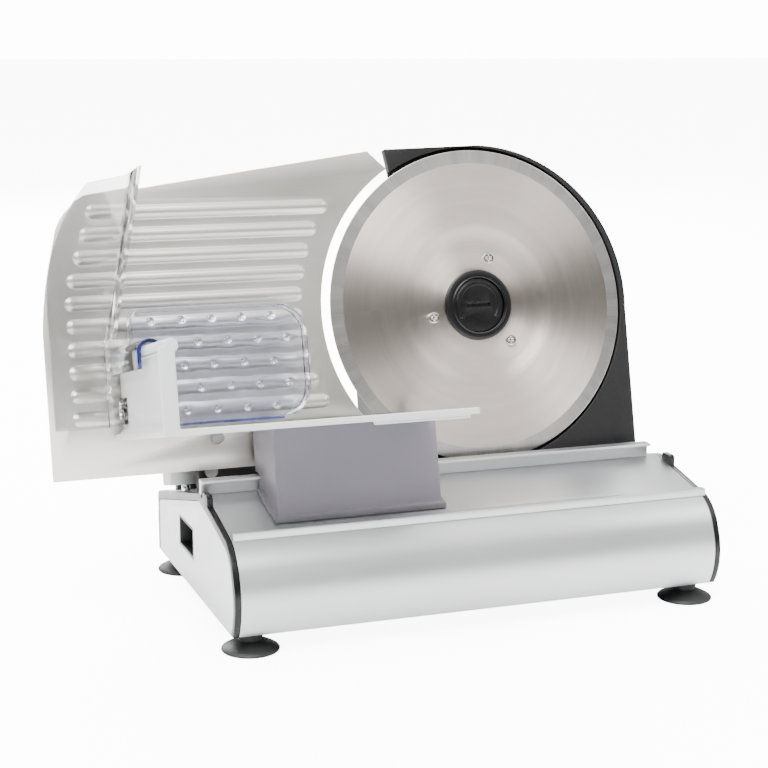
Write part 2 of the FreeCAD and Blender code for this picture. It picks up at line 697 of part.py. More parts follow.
def suction_foot(x, y):
    """Rubber suction cup: neck, thin skirt and a hollow below."""
    floor = -AXIS_HEIGHT
    profile = Part.Wire([
        line(V(0, 0, floor + CUP_H - 1.6), V(0, 0, BASE_BOTTOM)),
        line(V(0, 0, BASE_BOTTOM), V(NECK_R, 0, BASE_BOTTOM)),
        line(V(NECK_R, 0, BASE_BOTTOM), V(NECK_R - 1.5, 0, floor + CUP_H + 0.6)),
        arc(V(NECK_R - 1.5, 0, floor + CUP_H + 0.6), V(CUP_R - 4.5, 0, floor + CUP_H - 1.4), V(CUP_R, 0,
            floor + 1.2)),
        line(V(CUP_R, 0, floor + 1.2), V(CUP_R, 0, floor)),
        line(V(CUP_R, 0, floor), V(CUP_R - 1.6, 0, floor)),
        arc(V(CUP_R - 1.6, 0, floor), V(CUP_R * 0.6, 0, floor + CUP_H - 2.7),
            V(2.0, 0, floor + CUP_H - 1.6)),
        line(V(2.0, 0, floor + CUP_H - 1.6), V(0, 0, floor + CUP_H - 1.6))])
    foot = Part.Face(profile).revolve(V(0, 0, 0), V(0, 0, 1), 360)
    foot.translate(V(x, y, 0))
    return foot.cut(cyl_z(FOOT_STUD_R, floor + CUP_H + 0.5, BASE_BOTTOM + 1, x, y))


def foot_studs():
    """Threaded studs that hold the suction feet, with nuts inside the base."""
    solids = []
    for x, y in FOOT_PLACES:
        stud = cyl_z(FOOT_STUD_R, -AXIS_HEIGHT + CUP_H + 0.5, BASE_BOTTOM + 12, x, y)
        nut = cyl_z(4.6, BASE_BOTTOM + CAP_FLOOR, BASE_BOTTOM + CAP_FLOOR + 4, x, y)
        solids.append(stud.fuse(nut))
    return group(solids)


TAB_BACK = REAR_RAIL_Y + REAR_RAIL_T - REAR_LIP_W - SLIDE
CAP_FLOOR = COVER_T + BASE_WALL
BOSS_REACH = 12.0
BOSS_HALF = 11.0
BOSS_H = 8.0
CAP_RIM = 4.5
FACE_T = 1.6


def end_cap(x_out, inward):
    """Black end cap: rim with the carriage stop tab, back wall and two foot bosses."""
    x_in = x_out + inward * CAP_T
    lo, hi = min(x_out, x_in), max(x_out, x_in)
    cap = base_prism(0.0, lo, hi)
    tab_z = deck_z(RIDGE_Y)
    tab = box(lo, hi, TAB_FRONT, TAB_BACK, tab_z - 6.0, tab_z + TAB_H)
    lengthwise = []
    for e in tab.Edges:
        on_top = all(abs(v.Z - tab_z - TAB_H) < 0.01 for v in e.Vertexes)
        if on_top and abs(e.Vertexes[0].X - e.Vertexes[-1].X) > 1:
            lengthwise.append(e)
    tab = tab.makeFillet(2.0, lengthwise)
    cap = cap.fuse(tab)
    face_lo, face_hi = sorted((x_out, x_out + inward * FACE_T))
    cap = cap.cut(base_prism(CAP_RIM, face_lo - 0.5 if inward > 0 else face_lo,
        face_hi if inward > 0 else face_hi + 0.5))
    for x, y in FOOT_PLACES:
        if abs(x - x_out) < 60:
            boss_lo, boss_hi = sorted((x_in, x + inward * BOSS_REACH))
            floor = BASE_BOTTOM + CAP_FLOOR
            boss = box(boss_lo, boss_hi, y - BOSS_HALF, y + BOSS_HALF, floor + GAP, floor + BOSS_H)
            cap = cap.fuse(boss.common(base_prism(BASE_WALL + GAP, boss_lo, boss_hi)))
            cap = cap.cut(cyl_z(5.0, BASE_BOTTOM - 1, BASE_BOTTOM + 30, x, y))
    return cap


def face_plate(x_out, inward):
    """Silver plate let into the end cap, flush with its rim."""
    lo, hi = sorted((x_out, x_out + inward * FACE_T))
    return base_prism(CAP_RIM + GAP / 2, lo, hi)


SOCKET_Y0 = -10.0
SOCKET_Y1 = 25.0
SOCKET_Z0 = -140.5
SOCKET_Z1 = -121.5
SOCKET_DEPTH = 18.0
BEZEL_WALL = 1.6


def socket_cut(grow=0.0):
    """Space of the switch recess in the left end."""
    return box(BASE_LEFT - 1, BASE_LEFT + SOCKET_DEPTH + 6, SOCKET_Y0 - grow, SOCKET_Y1 + grow,
        SOCKET_Z0 - grow, SOCKET_Z1 + grow)


def switch_bezel():
    """Black box let into the left end that carries the power rocker."""
    outer = box(BASE_LEFT, BASE_LEFT + SOCKET_DEPTH, SOCKET_Y0, SOCKET_Y1, SOCKET_Z0, SOCKET_Z1)
    return outer.cut(box(BASE_LEFT - 1, BASE_LEFT + SOCKET_DEPTH - 2, SOCKET_Y0 + BEZEL_WALL,
        SOCKET_Y1 - BEZEL_WALL, SOCKET_Z0 + BEZEL_WALL, SOCKET_Z1 - BEZEL_WALL))


ROCKER_TILT = 12.0
ROCKER_X = BASE_LEFT + 10.5
ROCKER_Y = (SOCKET_Y0 + SOCKET_Y1) / 2
ROCKER_Z = (SOCKET_Z0 + SOCKET_Z1) / 2
ROCKER_HALF = 11.0
ROCKER_H = 11.0


def power_rocker():
    """Rocker key, tilted to its off side, with its pivot pins."""
    key = Part.Face(Part.Wire([
        line(V(-1.0, -ROCKER_HALF, 0), V(3.2, -4, 0)), line(V(3.2, -4, 0), V(3.2, 4, 0)), line(V(3.2, 4,
            0), V(-1.0, ROCKER_HALF, 0)),
        line(V(-1.0, ROCKER_HALF, 0), V(-4.6, ROCKER_HALF - 0.5, 0)),
        arc(V(-4.6, ROCKER_HALF - 0.5, 0), V(-3.4, 0, 0), V(-4.6, -ROCKER_HALF + 0.5, 0)),
        line(V(-4.6, -ROCKER_HALF + 0.5, 0), V(-1.0, -ROCKER_HALF, 0))])).extrude(V(0, 0, ROCKER_H))
    key.translate(V(0, 0, -ROCKER_H / 2))
    pin = cyl_z(1.5, -ROCKER_H / 2 - 1.6, ROCKER_H / 2 + 1.6)
    key = key.fuse(pin)
    key.rotate(V(0, 0, 0), V(0, 0, 1), -ROCKER_TILT)
    key.translate(V(ROCKER_X, ROCKER_Y, ROCKER_Z))
    return key


def switch_body():
    """Switch block with two ears that hold the rocker's pins, behind the bezel."""
    back = box(BASE_LEFT + SOCKET_DEPTH, BASE_LEFT + SOCKET_DEPTH + 14, ROCKER_Y - 13, ROCKER_Y + 13,
        ROCKER_Z - 8, ROCKER_Z + 8)
    for sign in (-1, 1):
        back = back.fuse(box(BASE_LEFT + SOCKET_DEPTH + 14, BASE_LEFT + SOCKET_DEPTH + 21,
            ROCKER_Y + sign * 6 - 2.4, ROCKER_Y + sign * 6 + 2.4, ROCKER_Z - 0.4, ROCKER_Z + 0.4))
    return back


def rocker_cradle(bezel):
    """Fill the bezel's side walls in to the rocker's ends and bore them for its pins."""
    for sign in (-1, 1):
        near = ROCKER_Z + sign * (ROCKER_H / 2 + 0.5)
        far = ROCKER_Z + sign * (SOCKET_Z1 - ROCKER_Z - BEZEL_WALL + 0.2)
        bezel = bezel.fuse(box(ROCKER_X - 3, BASE_LEFT + SOCKET_DEPTH - 1.5, ROCKER_Y - 13,
            ROCKER_Y + 13, min(near, far), max(near, far)))
    return bezel.cut(cyl_z(1.5 + RUN, ROCKER_Z - ROCKER_H / 2 - 1.9, ROCKER_Z + ROCKER_H / 2 + 1.9,
        ROCKER_X, ROCKER_Y))


LEVEL["base_extrusion"] = base_extrusion()
LEVEL["cord_bush"] = cord_bush()
LEVEL["bottom_cover"] = bottom_cover()
LEVEL["cover_screws"] = cover_screws()
for name, place in zip(FOOT_NAMES, FOOT_PLACES):
    LEVEL[name] = suction_foot(*place)
LEVEL["foot_studs"] = foot_studs()
LEVEL["left_end_cap"] = end_cap(BASE_LEFT, 1).cut(socket_cut())
LEVEL["right_end_cap"] = end_cap(BASE_RIGHT, -1)
LEVEL["left_face_plate"] = face_plate(BASE_LEFT, 1).cut(socket_cut())
LEVEL["right_face_plate"] = face_plate(BASE_RIGHT, -1)
LEVEL["switch_bezel"] = rocker_cradle(switch_bezel())
LEVEL["switch_body"] = switch_body()
LEVEL["power_rocker"] = power_rocker()


# ---------------------------------------------------------------- rails
def track_z(y):
    """Height of the carriage track at a level-frame Y, from its three points."""
    p = base_points(0.0, 0.0)
    a, b, c = p["nose"], p["track_mid"], p["ridge"]
    u = (y - a.y) / (c.y - a.y)
    m = (b.y - a.y) / (c.y - a.y)
    bow = (b.z - (a.z + (c.z - a.z) * m)) / (m * (1 - m))
    return a.z + (c.z - a.z) * u + bow * u * (1 - u)


def rear_rail():
    """Aluminium rail with a lip that overhangs the track and keeps the carriage down."""
    x1 = BASE_RIGHT - REAR_RAIL_END
    y0 = REAR_RAIL_Y
    top = track_z(y0) + REAR_RAIL_H
    web = box(BASE_LEFT, x1, y0, y0 + REAR_RAIL_T, track_z(y0) - 3, top)
    lip = box(BASE_LEFT, x1, y0 + REAR_RAIL_T - REAR_LIP_W, y0 + REAR_RAIL_T + 0.8, top - REAR_LIP_T, top)
    rail = web.fuse(lip)
    return rail.cut(base_prism(0.0, BASE_LEFT - 1, BASE_RIGHT + 1))


def front_rail():
    """Low bar along the front of the track."""
    bar = box(CAP_IN_LEFT + 0.5, BASE_RIGHT - 1.7, TRACK_FRONT - FRONT_RAIL_W / 2,
        TRACK_FRONT + FRONT_RAIL_W / 2, track_z(TRACK_FRONT) - 4, track_z(TRACK_FRONT) + FRONT_RAIL_H)
    bar = bar.cut(base_prism(0.0, BASE_LEFT - 1, BASE_RIGHT + 1))
    return bar


LEVEL["rear_rail"] = rear_rail()
LEVEL["front_rail"] = front_rail()


# ---------------------------------------------------------------- thickness plate
PLATE_FRONT = RIB_H
PLATE_BACK = RIB_H + PLATE_T
PLATE_EDGE_R = BLADE_R + PLATE_GAP
PLATE_LOW_RIGHT = -68.0
PLATE_TIP_X = -64.1
PLATE_TIP_S = 96.0


def plate_outline(y):
    """Face of the thickness plate: arc round the blade, sloping top, rounded left."""
    low = -math.sqrt(PLATE_EDGE_R ** 2 - PLATE_LOW_RIGHT ** 2)
    high_s = PLATE_EDGE_R * 0.85
    high_x = -math.sqrt(PLATE_EDGE_R ** 2 - high_s ** 2)
    left = PLATE_LEFT
    a = V(left, y, PLATE_BOTTOM)
    b = V(PLATE_LOW_RIGHT, y, PLATE_BOTTOM)
    c = V(PLATE_LOW_RIGHT, y, low)
    d = V(high_x, y, high_s)
    e = V(PLATE_TIP_X, y, PLATE_TIP_S)
    f = V(left + 28.5, y, PLATE_TIP_S - 22.7)
    g = V(left + 9.7, y, 49.4)
    h = V(left, y, -4.0)
    return Part.Face(Part.Wire([
        line(a, b), line(b, c), arc(c, V(-PLATE_EDGE_R, y, 0), d), line(d, e), line(e, f),
        arc(f, V(left + 16.8, y, 65.0), g), arc(g, V(left + 3.9, y, 26.0), h), line(h, a)]))


def rib_span(s):
    """Left and right ends of the rib at height s."""
    right = -math.sqrt(RIB_END_R ** 2 - s * s)
    left = PLATE_LEFT + 14.0 + max(0.0, s - 20.0) * 0.35
    return left, right


def rib(s):
    """Soft horizontal rib with rounded ends, standing out of the plate's face."""
    left, right = rib_span(s)
    half = RIB_W / 2
    r = (half * half + RIB_H * RIB_H) / (2 * RIB_H)
    bar = cyl_x(r, left + half, right - half, r, s)
    for x in (left + half, right - half):
        bar = bar.fuse(Part.makeSphere(r, V(x, r, s)))
    return bar.common(box(left - r, right + r, 0, PLATE_FRONT + 0.5, s - r, s + r))


def thickness_plate():
    """Ribbed aluminium plate that sets the slice, with one hole below the tray."""
    plate = plate_outline(PLATE_FRONT).extrude(V(0, PLATE_T, 0))
    for i in range(RIB_COUNT):
        plate = plate.fuse(rib(RIB_TOP_S - i * RIB_PITCH))
    return plate.cut(cyl_y(PLATE_HOLE_R, -1, PLATE_BACK + 1, -168.5, -68.4))


ARM_T = 4.0
ARM_LEFT = -190.0
ARM_RIGHT = -108.0
ARM_TOP = 12.0
ARM_LOW = -79.0
CHEEK_T = 5.0
SLIDER_TOP = -71.0
SLIDER_LOW = -95.0
BUSH_T = 2.0
SLIDER_BORE = ROD_R + BUSH_T


def plate_arm():
    """Cast bracket: a flange on the plate's back, two cheeks and a slider block."""
    y0 = PLATE_BACK
    arm = box(ARM_LEFT, ARM_RIGHT, y0, y0 + ARM_T, ARM_LOW, ARM_TOP)
    back = SLIDER_Y + SLIDER_T
    for x in (ARM_LEFT, ARM_RIGHT - CHEEK_T):
        cheek = polygon([V(x, y0, ARM_LOW), V(x, y0, ARM_TOP - 6), V(x, y0 + 8, ARM_TOP - 8),
            V(x, back, SLIDER_TOP), V(x, back, ARM_LOW), V(x, SLIDER_Y, ARM_LOW), V(x, SLIDER_Y,
            SLIDER_TOP + 4), V(x, y0 + 10, SLIDER_TOP + 4), V(x, y0 + 10, ARM_LOW)])
        arm = arm.fuse(cheek.extrude(V(CHEEK_T, 0, 0)))
    block = box(ARM_LEFT, ARM_RIGHT, SLIDER_Y, back, SLIDER_LOW, SLIDER_TOP)
    arm = arm.fuse(block)
    for x in ROD_X:
        arm = arm.cut(cyl_y(SLIDER_BORE, SLIDER_Y - 1, back + 1, x, ROD_S))
    arm = arm.cut(cyl_y(SCREW_R + RUN, SLIDER_Y - 1, back + 1, SCREW_X, SCREW_S))
    return arm


def slide_bushes():
    """Bronze bushes pressed into the slider, running on the rods."""
    return group([ring_y(SLIDER_BORE, ROD_R + RUN, SLIDER_Y, SLIDER_Y + SLIDER_T, x,
        ROD_S) for x in ROD_X])


PLATE_SCREWS = [(-180.0, 2.0), (-118.0, 2.0), (-180.0, -60.0), (-118.0, -60.0)]


def plate_screws():
    """Four screws through the bracket into the plate's back."""
    solids = []
    for x, s in PLATE_SCREWS:
        head = cyl_y(3.5, PLATE_BACK + ARM_T, PLATE_BACK + ARM_T + 2.4, x, s)
        shank = cyl_y(1.9, PLATE_FRONT + 0.8, PLATE_BACK + ARM_T, x, s)
        solids.append(head.fuse(shank))
    return group(solids)


def guide_rods():
    """Two chromed rods on which the plate slides."""
    return group([cyl_y(ROD_R, FRONT_BLOCK_Y + 0.5, REAR_BLOCK_Y + BLOCK_T - 0.5, x,
        ROD_S) for x in ROD_X])


BLOCK_TOP = -72.5


def rod_block(y0):
    """Black block on the rear deck that holds the rods and the adjusting screw."""
    block = box(ROD_X[0] - 8, ROD_X[1] + 8, y0, y0 + BLOCK_T, DECK_S, ROD_S + 7)
    hump = box(SCREW_X - 9, SCREW_X + 9, y0, y0 + BLOCK_T, ROD_S, BLOCK_TOP + 3)
    block = block.fuse(hump).removeSplitter()
    for x in ROD_X:
        block = block.cut(cyl_y(ROD_R, y0 - 1, y0 + BLOCK_T + 1, x, ROD_S))
    return block.cut(cyl_y(JOURNAL_R + RUN, y0 - 1, y0 + BLOCK_T + 1, SCREW_X, SCREW_S))


JOURNAL_R = 3.5
KNOB_Y = REAR_BLOCK_Y + BLOCK_T + 1.0


def adjusting_screw():
    """Quick-thread screw turned by the knob, plain journals in the two blocks."""
    drum = cyl_y(SCREW_R, FRONT_BLOCK_Y + BLOCK_T + GAP, REAR_BLOCK_Y - GAP, SCREW_X, SCREW_S)
    journal = cyl_y(JOURNAL_R, FRONT_BLOCK_Y - 1.0, KNOB_Y + KNOB_T - 3, SCREW_X, SCREW_S)
    return drum.fuse(journal)


def thickness_knob():
    """Black scalloped knob with a pointer ridge."""
    knob = cyl_y(KNOB_R, KNOB_Y, KNOB_Y + KNOB_T, SCREW_X, SCREW_S)
    knob = knob.makeFillet(2.0, [e for e in knob.Edges if e.BoundBox.YMin > KNOB_Y + KNOB_T - 0.1])
    for i in range(12):
        x, s = polar(KNOB_R + 3.2, i * 30 + 15)
        knob = knob.cut(cyl_y(4.4, KNOB_Y + 4, KNOB_Y + KNOB_T + 1, SCREW_X + x, SCREW_S + s))
    knob = knob.fuse(box(SCREW_X - 1.2, SCREW_X + 1.2, KNOB_Y + KNOB_T, KNOB_Y + KNOB_T + 1.5,
        SCREW_S + 2, SCREW_S + KNOB_R - 3))
    return knob.cut(cyl_y(JOURNAL_R, KNOB_Y - 1, KNOB_Y + KNOB_T - 3, SCREW_X, SCREW_S))


SPRING_R = 5.6
WIRE_R = 0.7
SPRING_TURNS = 5


def slide_springs():
    """Two coil springs on the rods that take up the play behind the slider."""
    y0 = SLIDER_Y + SLIDER_T
    y1 = REAR_BLOCK_Y
    solids = []
    for x in ROD_X:
        pitch = (y1 - y0 - 2 * WIRE_R) / SPRING_TURNS
        for i in range(SPRING_TURNS + 1):
            coil = Part.makeTorus(SPRING_R, WIRE_R, V(x, y0 + WIRE_R + i * pitch, ROD_S), V(0, 1, 0))
            solids.append(coil)
    return group(solids)


def glide_stud():
    """Chromed stud under the bracket's left cheek that rides on the deck."""
    stud = Part.makeCylinder(2.6, SLIDER_LOW - DECK_S - GAP, V(ARM_LEFT + 10.5, SLIDER_Y + 5,
        DECK_S + GAP), V(0, 0, 1))
    return stud


def block_screws():
    """Screws that hold the two rod blocks to the deck."""
    solids = []
    for y0 in (FRONT_BLOCK_Y, REAR_BLOCK_Y):
        for x in (ROD_X[0] + 9.5, ROD_X[1] - 9.5):
            head = cyl_z(2.8, ROD_S + 7, ROD_S + 8.6, x, y0 + BLOCK_T / 2)
            shank = cyl_z(1.5, DECK_S + 0.1, ROD_S + 7, x, y0 + BLOCK_T / 2)
            solids.append(head.fuse(shank))
    return group(solids)


HEAD["thickness_plate"] = thickness_plate()
HEAD["plate_arm"] = plate_arm()
HEAD["slide_bushes"] = slide_bushes()
HEAD["plate_screws"] = plate_screws()
HEAD["guide_rods"] = guide_rods()
HEAD["block_screws"] = block_screws()
HEAD["front_rod_block"] = rod_block(FRONT_BLOCK_Y).cut(HEAD["block_screws"])
HEAD["rear_rod_block"] = rod_block(REAR_BLOCK_Y).cut(HEAD["block_screws"])
HEAD["adjusting_screw"] = adjusting_screw()
HEAD["thickness_knob"] = thickness_knob()
HEAD["slide_springs"] = slide_springs()
HEAD["glide_stud"] = glide_stud()


# ---------------------------------------------------------------- food carriage
TRAY_LOW = TRAY_S - TRAY_T
WALL_TOP = TRAY_S + WALL_H
WALL_OUT = WALL_X - WALL_T / 2
WALL_IN = WALL_X + WALL_T / 2
LIP_H = 5.2


def carriage_tray():
    """Tray with its end wall, the wall's outward front flange and rounded top."""
    tray = box(TRAY_LEFT, TRAY_RIGHT, -TRAY_FRONT, -TRAY_REAR, TRAY_LOW, TRAY_S)
    corner = []
    for e in tray.Edges:
        right = all(abs(v.X - TRAY_RIGHT) < 0.01 for v in e.Vertexes)
        upright = abs(e.Vertexes[0].Z - e.Vertexes[-1].Z) > 1
        if right and upright and e.Vertexes[0].Y < -TRAY_FRONT + 1:
            corner.append(e)
    tray = tray.makeFillet(4.0, corner)
    ridge_s = WALL_TOP - WALL_TOP_R
    wall = box(WALL_OUT, WALL_IN, -TRAY_FRONT, -TRAY_REAR, TRAY_S - 0.5, ridge_s)
    ridge = cyl_y(WALL_TOP_R, -TRAY_FRONT, -TRAY_REAR, WALL_X, ridge_s)
    flange = box(TRAY_LEFT, WALL_OUT + 0.5, -TRAY_FRONT, -TRAY_FRONT + 2.6, TRAY_S - 0.5, ridge_s)
    tray = tray.fuse(wall).fuse(ridge).fuse(flange)
    fillet = 4.5
    cove = box(WALL_OUT - fillet, WALL_OUT, -TRAY_FRONT + 1, -TRAY_REAR, TRAY_S - 0.5, TRAY_S + fillet)
    cove = cove.cut(cyl_y(fillet, -TRAY_FRONT, 0, WALL_OUT - fillet, TRAY_S + fillet))
    side = box(WALL_OUT - fillet, WALL_OUT, -TRAY_FRONT + 2.6, -TRAY_FRONT + 2.6 + fillet, TRAY_S - 0.5,
        ridge_s)
    side = side.cut(cyl_z(fillet, TRAY_S - 2, ridge_s + 2, WALL_OUT - fillet, -TRAY_FRONT + 2.6 + fillet))
    tray = tray.fuse(cove).fuse(side)
    lip = box(TRAY_RIGHT - 60, TRAY_RIGHT - 6, -TRAY_FRONT + 1.6, -TRAY_FRONT + 3.6, TRAY_S - LIP_H,
        TRAY_LOW)
    return tray.fuse(lip)


def rail_room():
    """Space the carriage foot leaves for the rear rail, with a tongue kept below its lip."""
    top = track_z(REAR_RAIL_Y) + REAR_RAIL_H
    lip_y = REAR_RAIL_Y + REAR_RAIL_T - REAR_LIP_W
    x0 = BASE_LEFT - 60
    x1 = BASE_RIGHT + 60
    over = box(x0, x1, lip_y - SLIDE, 40, top - REAR_LIP_T - SLIDE, top + SLIDE)
    behind = box(x0, x1, REAR_RAIL_Y - SLIDE, 40, BASE_BOTTOM, top + SLIDE)
    return over.fuse(behind)


def foot_block(grow, wall, s_top):
    """Block of the carriage foot, grown sideways or shrunk to its hollow."""
    return box(FOOT_LEFT - grow + wall, FOOT_RIGHT + grow - wall, -FOOT_FACE - grow + wall,
        -TRAY_REAR - wall, -140.0, s_top)


def carriage_foot():
    """Hollow foot under the tray that straddles the rear rail and rides on the track."""
    clear = GAP
    block = lean(foot_block(0, 0, TRAY_LOW))
    hollow = lean(foot_block(0, FOOT_WALL, TRAY_LOW - FOOT_WALL))
    flange = lean(box(FOOT_LEFT - FOOT_FLANGE, FOOT_RIGHT + FOOT_FLANGE, -FOOT_FACE - 1.4, -12.0, -140.0,
        -90.0))
    flange = flange.common(base_prism(-3.6, BASE_LEFT, BASE_RIGHT))
    rear = box(FOOT_LEFT - 30, FOOT_RIGHT + 30, REAR_RAIL_Y - 8.5, 40, -200,
        track_z(REAR_RAIL_Y) + REAR_RAIL_H + SLIDE + FOOT_WALL)
    foot = block.cut(hollow.cut(rear)).fuse(flange)
    below = base_prism(-clear, BASE_LEFT - 1, BASE_RIGHT + 1)
    level_cut = box(BASE_LEFT - 60, BASE_RIGHT + 60, -200, 60, -220, -125)
    foot = foot.cut(below).cut(level_cut).cut(rail_room())
    front = box(BASE_LEFT - 60, BASE_RIGHT + 60, -200, TRACK_FRONT + FRONT_RAIL_W / 2 + SLIDE, -200, -95)
    return foot.cut(front)


def glide_pads():
    """Nylon pads let into the foot's lower edge: none touch the rails' sides."""
    solids = []
    for x in (FOOT_LEFT + 12.0, FOOT_RIGHT - 12.0):
        pad = box(x - 7, x + 7, REAR_RAIL_Y - 8.0, REAR_RAIL_Y - 2.5, -130, -60)
        pad = pad.common(base_prism(-GAP - 1.0, BASE_LEFT, BASE_RIGHT)).cut(base_prism(-0.1,
            BASE_LEFT - 1, BASE_RIGHT + 1))
        solids.append(pad)
    return group(solids)


def tray_screws():
    """Four countersunk screws from inside the foot up into the tray."""
    solids = []
    for x in (FOOT_LEFT + 12.0, FOOT_RIGHT - 12.0):
        for y in (-FOOT_FACE + 9.0, -20.0):
            head = cyl_z(3.0, TRAY_LOW - FOOT_WALL - 1.8, TRAY_LOW - FOOT_WALL, x, y)
            shank = cyl_z(1.6, TRAY_LOW - FOOT_WALL, TRAY_S - 0.8, x, y)
            solids.append(head.fuse(shank))
    return group(solids)


def fill_pads(foot, pads):
    """Pockets in the foot for its glide pads."""
    return foot.cut(pads)


PADS = glide_pads()
LEVEL["carriage_foot"] = fill_pads(carriage_foot(), PADS)
LEVEL["glide_pads"] = PADS
TRAY = carriage_tray()
SCREWS = tray_screws()
HEAD["carriage_tray"] = TRAY.cut(SCREWS)
LEVEL["carriage_foot"] = LEVEL["carriage_foot"].cut(lean(SCREWS))
HEAD["tray_screws"] = SCREWS


# ---------------------------------------------------------------- pusher and guard
SADDLE_IN = WALL_TOP_R + SADDLE_GAP
SADDLE_TOP = WALL_TOP + SADDLE_GAP + SADDLE_T
SADDLE_OUT = SADDLE_IN + SADDLE_T
PUSH_LEFT = -219.0
PUSH_LOW = TRAY_S + PUSH_LIFT
PUSH_TOP = PUSH_LOW + PUSH_H
PUSH_NOTCH_X = -213.4


def pusher_face(inset, y):
    """Outline of the pusher plate, notched over the end wall."""
    left = PUSH_LEFT + inset
    notch = PUSH_NOTCH_X + inset
    right = PUSH_RIGHT - inset
    low = PUSH_LOW + inset
    top = PUSH_TOP - inset
    step = SADDLE_TOP + 0.6 + inset
    r = max(PUSH_CORNER - inset, 1.0)
    k = r * (1 - math.sqrt(0.5))
    small = 8.0
    j = small * (1 - math.sqrt(0.5))
    return Part.Face(Part.Wire([
        line(V(notch, y, low), V(right - r, y, low)),
        arc(V(right - r, y, low), V(right - k, y, low + k), V(right, y, low + r)),
        line(V(right, y, low + r), V(right, y, top - r)),
        arc(V(right, y, top - r), V(right - k, y, top - k), V(right - r, y, top)),
        line(V(right - r, y, top), V(left + small, y, top)),
        arc(V(left + small, y, top), V(left + j, y, top - j), V(left, y, top - small)),
        line(V(left, y, top - small), V(left, y, step)),
        line(V(left, y, step), V(notch, y, step)),
        line(V(notch, y, step), V(notch, y, low))]))


STUD_PITCH_X = 17.7
STUD_PITCH_S = 13.1
STUD_IN = 9.5


def pusher_plate():
    """Clear dished plate with a rim and staggered rows of gripping pyramids."""
    back = -PUSH_NEAR
    outer = pusher_face(0.0, back).extrude(V(0, -PUSH_RIM, 0))
    inner = pusher_face(PUSH_T * 0.8, back - PUSH_T).extrude(V(0, -PUSH_RIM, 0))
    plate = outer.cut(inner)
    for row in range(5):
        s = PUSH_LOW + 8.0 + row * STUD_PITCH_S
        for col in range(6):
            x = PUSH_RIGHT - STUD_IN - ((row + 1) % 2) * STUD_PITCH_X / 2 - col * STUD_PITCH_X
            if x > PUSH_NOTCH_X + 5:
                plate = plate.fuse(Part.makeCone(2.6, 0.6, 2.2, V(x, back, s), V(0, 1, 0)))
    return plate


def pusher_saddle():
    """Clear inverted channel that rides on the end wall's rounded top."""
    y0 = -PUSH_NEAR - SADDLE_L
    y1 = -PUSH_NEAR
    ridge_s = WALL_TOP - WALL_TOP_R
    low = ridge_s - SADDLE_DROP
    outer = cyl_y(SADDLE_OUT, y0, y1, WALL_X, ridge_s).fuse(box(WALL_X - SADDLE_OUT, WALL_X + SADDLE_OUT,
        y0, y1, low, ridge_s))
    inner = cyl_y(SADDLE_IN, y0 - 1, y1 + 1, WALL_X, ridge_s).fuse(box(WALL_X - SADDLE_IN,
        WALL_X + SADDLE_IN, y0 - 1, y1 + 1, low - 1, ridge_s))
    return outer.cut(inner)


def guard_outline(y, left, right_low, right_top, low):
    """Outline of the thumb guard's panel, its right edge slanting up to the right."""
    return Part.Face(Part.Wire([
        line(V(left, y, low), V(right_low, y, low)),
        line(V(right_low, y, low), V(right_low, y, WALL_TOP + 6)),
        line(V(right_low, y, WALL_TOP + 6), V(right_top, y, GUARD_TOP)),
        line(V(right_top, y, GUARD_TOP), V(-234.5, y, GUARD_TOP - 4.6)),
        arc(V(-234.5, y, GUARD_TOP - 4.6), V(-250.5, y, 58.0), V(left, y, 5.0)),
        line(V(left, y, 5.0), V(left, y, low))]))


GUARD_TOP = 85.1
GUARD_LOW = TRAY_S + 4.0
GUARD_RIGHT_LOW = WALL_OUT - GUARD_T - SADDLE_OUT + WALL_T / 2 + 1.0
GUARD_RIGHT_TOP = -208.6


def thumb_guard():
    """Clear L-shaped guard: a panel beside the end wall and a flange over it."""
    back = -TRAY_REAR
    panel = guard_outline(back, GUARD_LEFT, GUARD_RIGHT_LOW, GUARD_RIGHT_TOP, GUARD_LOW).extrude(V(0,
        -GUARD_T, 0))
    s0 = WALL_TOP + 6
    flange = polygon([
        V(GUARD_RIGHT_LOW, back, s0), V(GUARD_RIGHT_TOP, back, GUARD_TOP),
        V(GUARD_RIGHT_TOP - GUARD_T, back, GUARD_TOP), V(GUARD_RIGHT_LOW - GUARD_T, back,
            s0)]).extrude(V(0, -GUARD_FLANGE, 0))
    post = box(GUARD_RIGHT_LOW - GUARD_T, GUARD_RIGHT_LOW, back - 5.0, back, GUARD_LOW, s0)
    ear = box(GUARD_RIGHT_LOW - 0.5, WALL_OUT, back - GUARD_T, back, GUARD_LOW, TRAY_S + 20.0)
    strap = box(WALL_OUT - GUARD_T, WALL_OUT, back - 16.0, back, GUARD_LOW + 1, TRAY_S + 20.0)
    return panel.fuse(flange).fuse(post).fuse(ear).fuse(strap).removeSplitter()


GUARD_SCREWS = [(-TRAY_REAR - 10.0, TRAY_S + 10.0), (-TRAY_REAR - 10.0, TRAY_S + 16.0)]


def guard_screws():
    """Two small screws that hold the guard to the wall's outer face."""
    solids = []
    for y, s in GUARD_SCREWS:
        head = cyl_x(2.2, WALL_OUT - GUARD_T - 1.4, WALL_OUT - GUARD_T, y, s)
        shank = cyl_x(1.2, WALL_OUT - GUARD_T, WALL_OUT + 2.4, y, s)
        solids.append(head.fuse(shank))
    return group(solids)


